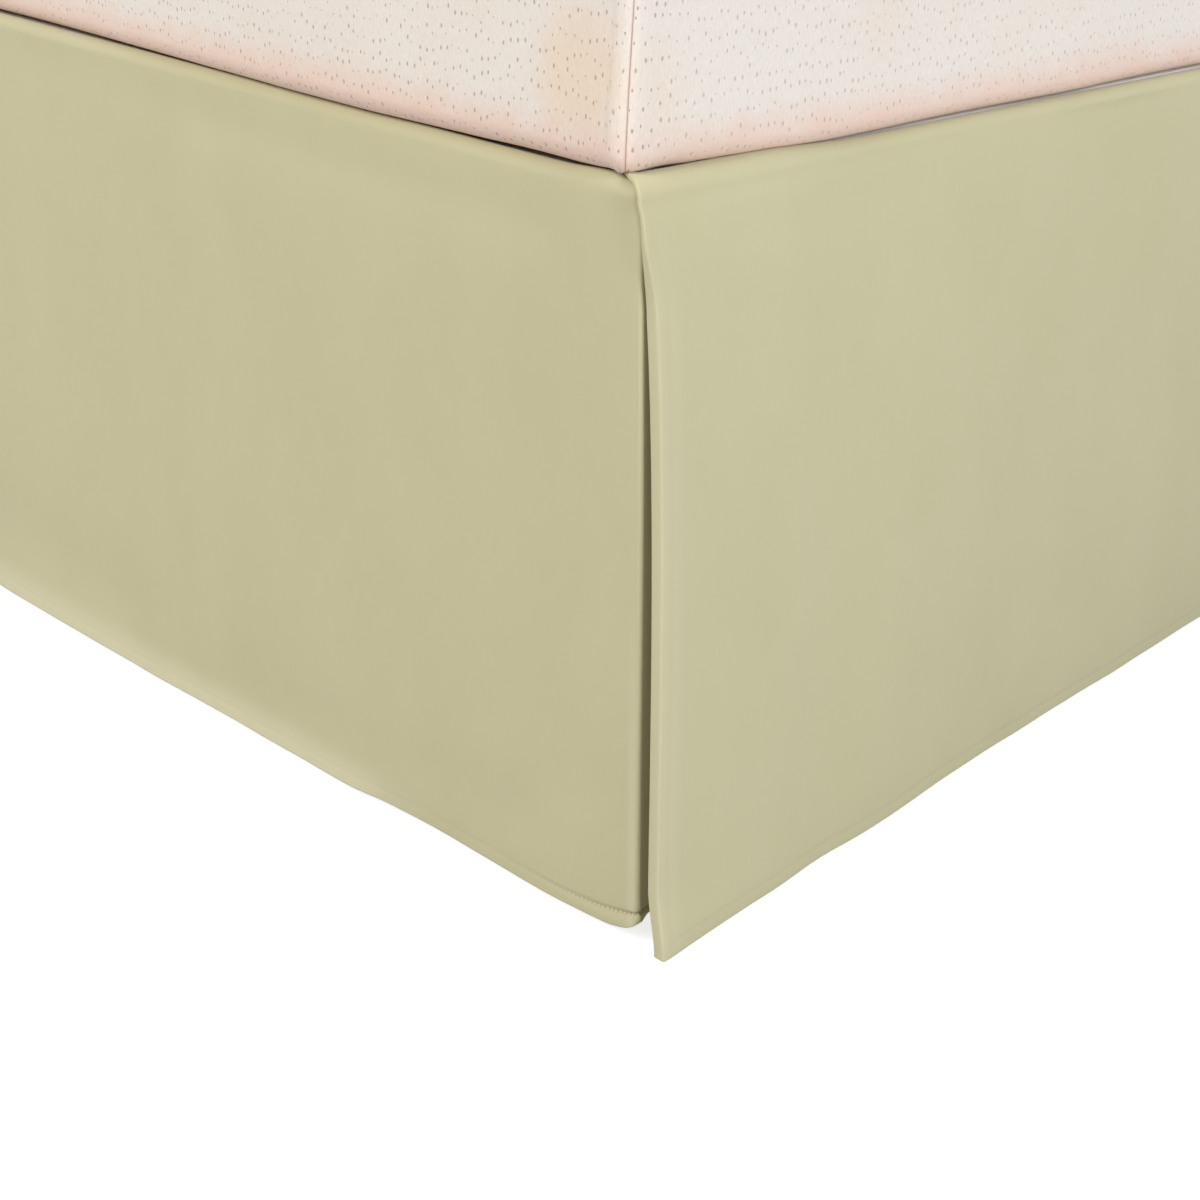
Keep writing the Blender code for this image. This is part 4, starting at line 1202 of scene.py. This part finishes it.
coverLook = {
    "cream": (0.815, 0.756, 0.698, 1.0),
    "peach": (0.82, 0.68, 0.55, 1.0),
    # the cover's own pink, also painted shade along the bottom where it meets the skirt
    "pinkAndContactShade": (0.82, 0.60, 0.50, 1.0),
    # darker tone: painted shade in the pits and between the ribs, and the fuzz's uneven tone
    "pit": (0.40, 0.27, 0.21, 1.0),
    "seam": (0.42, 0.20, 0.14, 1.0),
    "pitCell": (0.0047, 0.0084, 1.0),
    "blot": (halfWidth - 0.037, 0.025, 0.424, 0.024),   # patch on the foot wall: x, reach, z, reach
    "blotShows": 0.95,
    "pinkShadeBand": (0.005, 0.030),                         # heights over the mattress's bottom
    "pinkShadeShows": 0.95,
    "rib": 0.0008,
    "ribShadeShows": 0.07,
    "pitShadeShows": (0.48, 0.74),                           # elsewhere and on the foot wall
    "seamShows": 0.6,
    "surface": {"Roughness": 0.9, "Sheen Weight": 0.15, "Specular IOR Level": 0.2},
}


def pitGroup():
    # small upright pits scattered over the knit, one in each cell of an uneven grid
    tree, start, end = newGroup(
        "knitPits",
        (("Place", "NodeSocketVector", None), ("Size", "NodeSocketFloat", 0.165)),
        (("Pit", "NodeSocketFloat"),),
    )
    w = Wiring(tree)
    cell = coverLook["pitCell"]
    stretched = w.vector("DIVIDE", start.outputs["Place"], cell)
    cells = tree.nodes.new("ShaderNodeTexVoronoi")
    cells.voronoi_dimensions = "2D"
    cells.inputs["Scale"].default_value = 1.0
    cells.inputs["Randomness"].default_value = 0.62
    w.feed(cells.inputs["Vector"], stretched)
    chance = tree.nodes.new("ShaderNodeSeparateColor")
    w.feed(chance.inputs[0], cells.outputs["Color"])
    size = w.times(start.outputs["Size"], w.spread(chance.outputs[0], 0.0, 1.0, 0.45, 1.0))
    pit = w.spread(cells.outputs["Distance"], w.times(size, 0.4), size, 1.0, 0.0)
    w.feed(end.inputs["Pit"], pit)
    return tree


pits = pitGroup()


def coverMaterial(values):
    made, shader, w = newMaterial("knittedTicking", values["surface"])
    place = onCloth(w)
    spot = onObject(w)
    across = w.split(place)[0]
    patches = w.noise(spot, 11.0, 3.0, 0.55)
    colour = w.mix(w.spread(patches, 0.42, 0.80, 0.0, 0.55), values["cream"], values["peach"])
    x, y, z = w.split(spot)
    uneven = w.times(w.minus(w.noise(spot, 55.0, 3.0), 0.5), 0.016)
    blotX, reachX, blotZ, reachZ = values["blot"]
    offX = w.math("DIVIDE", w.minus(x, blotX), reachX)
    offZ = w.math("DIVIDE", w.minus(z, blotZ), reachZ)
    off = w.math("SQRT", w.plus(w.times(offX, offX), w.times(offZ, offZ)))
    off = w.plus(off, w.times(uneven, 60.0))
    onFoot = w.spread(y, footY + 0.010, footY + 0.030, 1.0, 0.0)
    inBlot = w.times(w.spread(off, 0.5, 1.6, values["blotShows"], 0.0), onFoot)
    colour = w.mix(inBlot, colour, values["peach"])
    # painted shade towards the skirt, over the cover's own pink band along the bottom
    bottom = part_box("mattress")[0][2]
    pinkShadeFrom, pinkShadeTo = (bottom + height for height in values["pinkShadeBand"])
    inBand = w.spread(w.plus(z, uneven), pinkShadeFrom, pinkShadeTo, values["pinkShadeShows"], 0.0)
    colour = w.mix(inBand, colour, values["pinkAndContactShade"])
    rib = w.ridges(across, math.pi / values["rib"])
    # painted shade in the valleys between the knit's ribs
    colour = w.mix(w.times(w.minus(1.0, rib), values["ribShadeShows"]), colour, values["pit"])
    fuzz = w.noise(w.stretched(place, (1.0, 0.3, 1.0)), 900.0, 3.0, 0.6)
    colour = w.mix(w.spread(fuzz, 0.35, 0.65, 0.10, 0.0), colour, values["pit"])
    pit = w.group(pits, Place=place)["Pit"]
    # painted shade in the knit's pits, stronger on the foot wall
    colour = w.mix(w.times(pit, w.spread(onFoot, 0.0, 1.0, *values["pitShadeShows"])), colour, values["pit"])
    colour = w.mix(w.times(mark(w, "onSeam"), values["seamShows"]), colour, values["seam"])
    w.feed(shader.inputs["Base Color"], colour)
    knit = w.plus(w.times(rib, 0.25), w.times(fuzz, 0.5))
    w.feed(shader.inputs["Normal"], w.bump(w.minus(knit, w.times(pit, 1.6)), 0.5, 0.0004))
    return made


coverPiece()
print("mattress covered")

# foundation and legs keep their solids and get their finishes

baseLook = {
    "colour": (0.60, 0.56, 0.50, 1.0),
    "dark": (0.50, 0.46, 0.40, 1.0),
    "surface": {"Roughness": 0.9, "Specular IOR Level": 0.2},
}
woodLook = {
    "pale": (0.46, 0.31, 0.19, 1.0),
    "dark": (0.26, 0.155, 0.085, 1.0),
    "rings": 9.0,
    "rougher": 0.15,           # what the open grain adds to the roughness
    "surface": {"Roughness": 0.42},
}


def baseMaterial(values):
    made, shader, w = newMaterial("foundationCloth", values["surface"])
    place = onObject(w)
    coarse = w.noise(w.stretched(place, (1.0, 1.0, 0.12)), 900.0, 3.0, 0.6)
    fine = w.noise(w.stretched(place, (0.12, 0.12, 1.0)), 900.0, 3.0, 0.6)
    threads = w.times(w.plus(coarse, fine), 0.5)
    patches = w.noise(place, 7.0, 3.0)
    colour = w.mix(w.spread(threads, 0.42, 0.58, 0.6, 0.0), values["colour"], values["dark"])
    colour = w.mix(w.spread(patches, 0.4, 0.7, 0.0, 0.3), colour, values["dark"])
    w.feed(shader.inputs["Base Color"], colour)
    w.feed(shader.inputs["Normal"], w.bump(threads, 0.5, 0.0004))
    return made


def woodMaterial(values):
    made, shader, w = newMaterial("satinWood", values["surface"])
    place = onObject(w)
    drift = w.noise(w.stretched(place, (1.0, 1.0, 0.2)), 20.0, 2.0)
    rings = w.math("FRACT", w.times(drift, values["rings"]))
    grain = w.noise(w.stretched(place, (1.0, 1.0, 0.05)), 700.0, 3.0, 0.6)
    colour = w.mix(w.spread(rings, 0.1, 0.95, 0.0, 0.8), values["pale"], values["dark"])
    colour = w.mix(w.spread(grain, 0.45, 0.62, 0.0, 0.5), colour, values["dark"])
    w.feed(shader.inputs["Base Color"], colour)
    satin = values["surface"]["Roughness"]
    rough = w.spread(grain, 0.3, 0.7, satin, satin + values["rougher"])
    w.feed(shader.inputs["Roughness"], rough)
    w.feed(shader.inputs["Normal"], w.bump(grain, 0.25, 0.0003))
    return made


def finishNodes():
    looks = {"foundation": baseMaterial(baseLook)}
    wood = woodMaterial(woodLook)
    for name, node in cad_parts.items():
        if name.startswith("leg_"):
            looks[name] = wood
    for name, look in looks.items():
        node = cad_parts[name]
        node.data.materials.clear()
        node.data.materials.append(look)


finishNodes()
print("foundation and legs finished")

# floor and soft studio light

studio = {
    "floorHalf": 14.0,         # half of its side
    "floorZ": -0.0005,         # just under the legs
    "floorSurface": {"Roughness": 0.8, "Specular IOR Level": 0.1, "Emission Strength": 1.0},
    "floorSeen": (0.50, 0.50, 0.50, 1.0),
    "floorMottle": (0.46, 0.46, 0.46, 1.0),
    "floorGlow": 0.80,         # lifts the floor that the camera sees to a plain white
    "floorBounce": 0.50,       # brightness of the floor as a source of light
    "skyStrength": 0.26,
    "seenSky": 0.97,
    # name: place, aim, size, watts, colour
    "soft": (
        ("front", (-0.1, -4.5, 3.1), (0.0, -1.0, 0.2), 2.2, 157.0, (1.0, 0.985, 0.96)),
        ("right", (4.3, -1.0, 2.1), (0.8, -0.8, 0.2), 1.5, 102.0, (0.965, 0.985, 1.02)),
        ("nearRight", (1.95, -0.86, 0.95), (0.77, -0.90, 0.25), 0.5, 1.6, (0.85, 0.93, 1.0)),
        ("above", (0.3, 0.2, 4.2), (0.0, 0.0, 0.4), 3.0, 42.0, (1.0, 1.0, 1.0)),
        ("behind", (-3.2, 3.6, 2.6), (-0.3, 0.4, 0.3), 2.4, 60.0, (1.0, 1.0, 1.0)),
    ),
}


def makeFloor(values):
    # one large level quad just under the legs, its pattern a faint mottle
    half, z = values["floorHalf"], values["floorZ"]
    mesh = bpy.data.meshes.new("floor")
    corners = [(-half, -half, z), (half, -half, z), (half, half, z), (-half, half, z)]
    mesh.from_pydata(corners, [], [(0, 1, 2, 3)])
    floor = bpy.data.objects.new("floor", mesh)
    bpy.context.scene.collection.objects.link(floor)
    made, shader, w = newMaterial("paleFloor", values["floorSurface"])
    shade = w.spread(w.noise(onObject(w), 3.0, 2.0), 0.3, 0.7, 0.0, 0.02)
    seen = w.tree.nodes.new("ShaderNodeLightPath").outputs["Is Camera Ray"]
    bounce = (values["floorBounce"],) * 3 + (1.0,)
    glow = (values["floorGlow"],) * 3 + (1.0,)
    colour = w.mix(shade, values["floorSeen"], values["floorMottle"])
    w.feed(shader.inputs["Base Color"], w.mix(seen, bounce, colour))
    w.feed(shader.inputs["Emission Color"], w.mix(seen, (0.0, 0.0, 0.0, 1.0), glow))
    mesh.materials.append(made)


def makeLights(values):
    for name, place, aim, size, watts, colour in values["soft"]:
        light = bpy.data.objects.new(name, bpy.data.lights.new(name, "AREA"))
        light.data.shape = "SQUARE"
        light.data.size = size
        light.data.energy = watts
        light.data.color = colour
        light.visible_camera = False
        light.location = place
        light.rotation_mode = "QUATERNION"
        light.rotation_quaternion = (Vector(aim) - Vector(place)).to_track_quat("-Z", "Y")
        bpy.context.scene.collection.objects.link(light)
    world = bpy.data.worlds.new("paleStudio")
    world.use_nodes = True
    backdrop = world.node_tree.nodes["Background"]
    backdrop.inputs["Color"].default_value = (1.0, 1.0, 1.0, 1.0)
    w = Wiring(world.node_tree)
    seen = world.node_tree.nodes.new("ShaderNodeLightPath").outputs["Is Camera Ray"]
    strength = w.spread(seen, 0.0, 1.0, values["skyStrength"], values["seenSky"])
    w.feed(backdrop.inputs["Strength"], strength)
    bpy.context.scene.world = world
    bpy.context.scene.view_settings.view_transform = "Standard"


makeFloor(studio)
makeLights(studio)
print("studio lit")
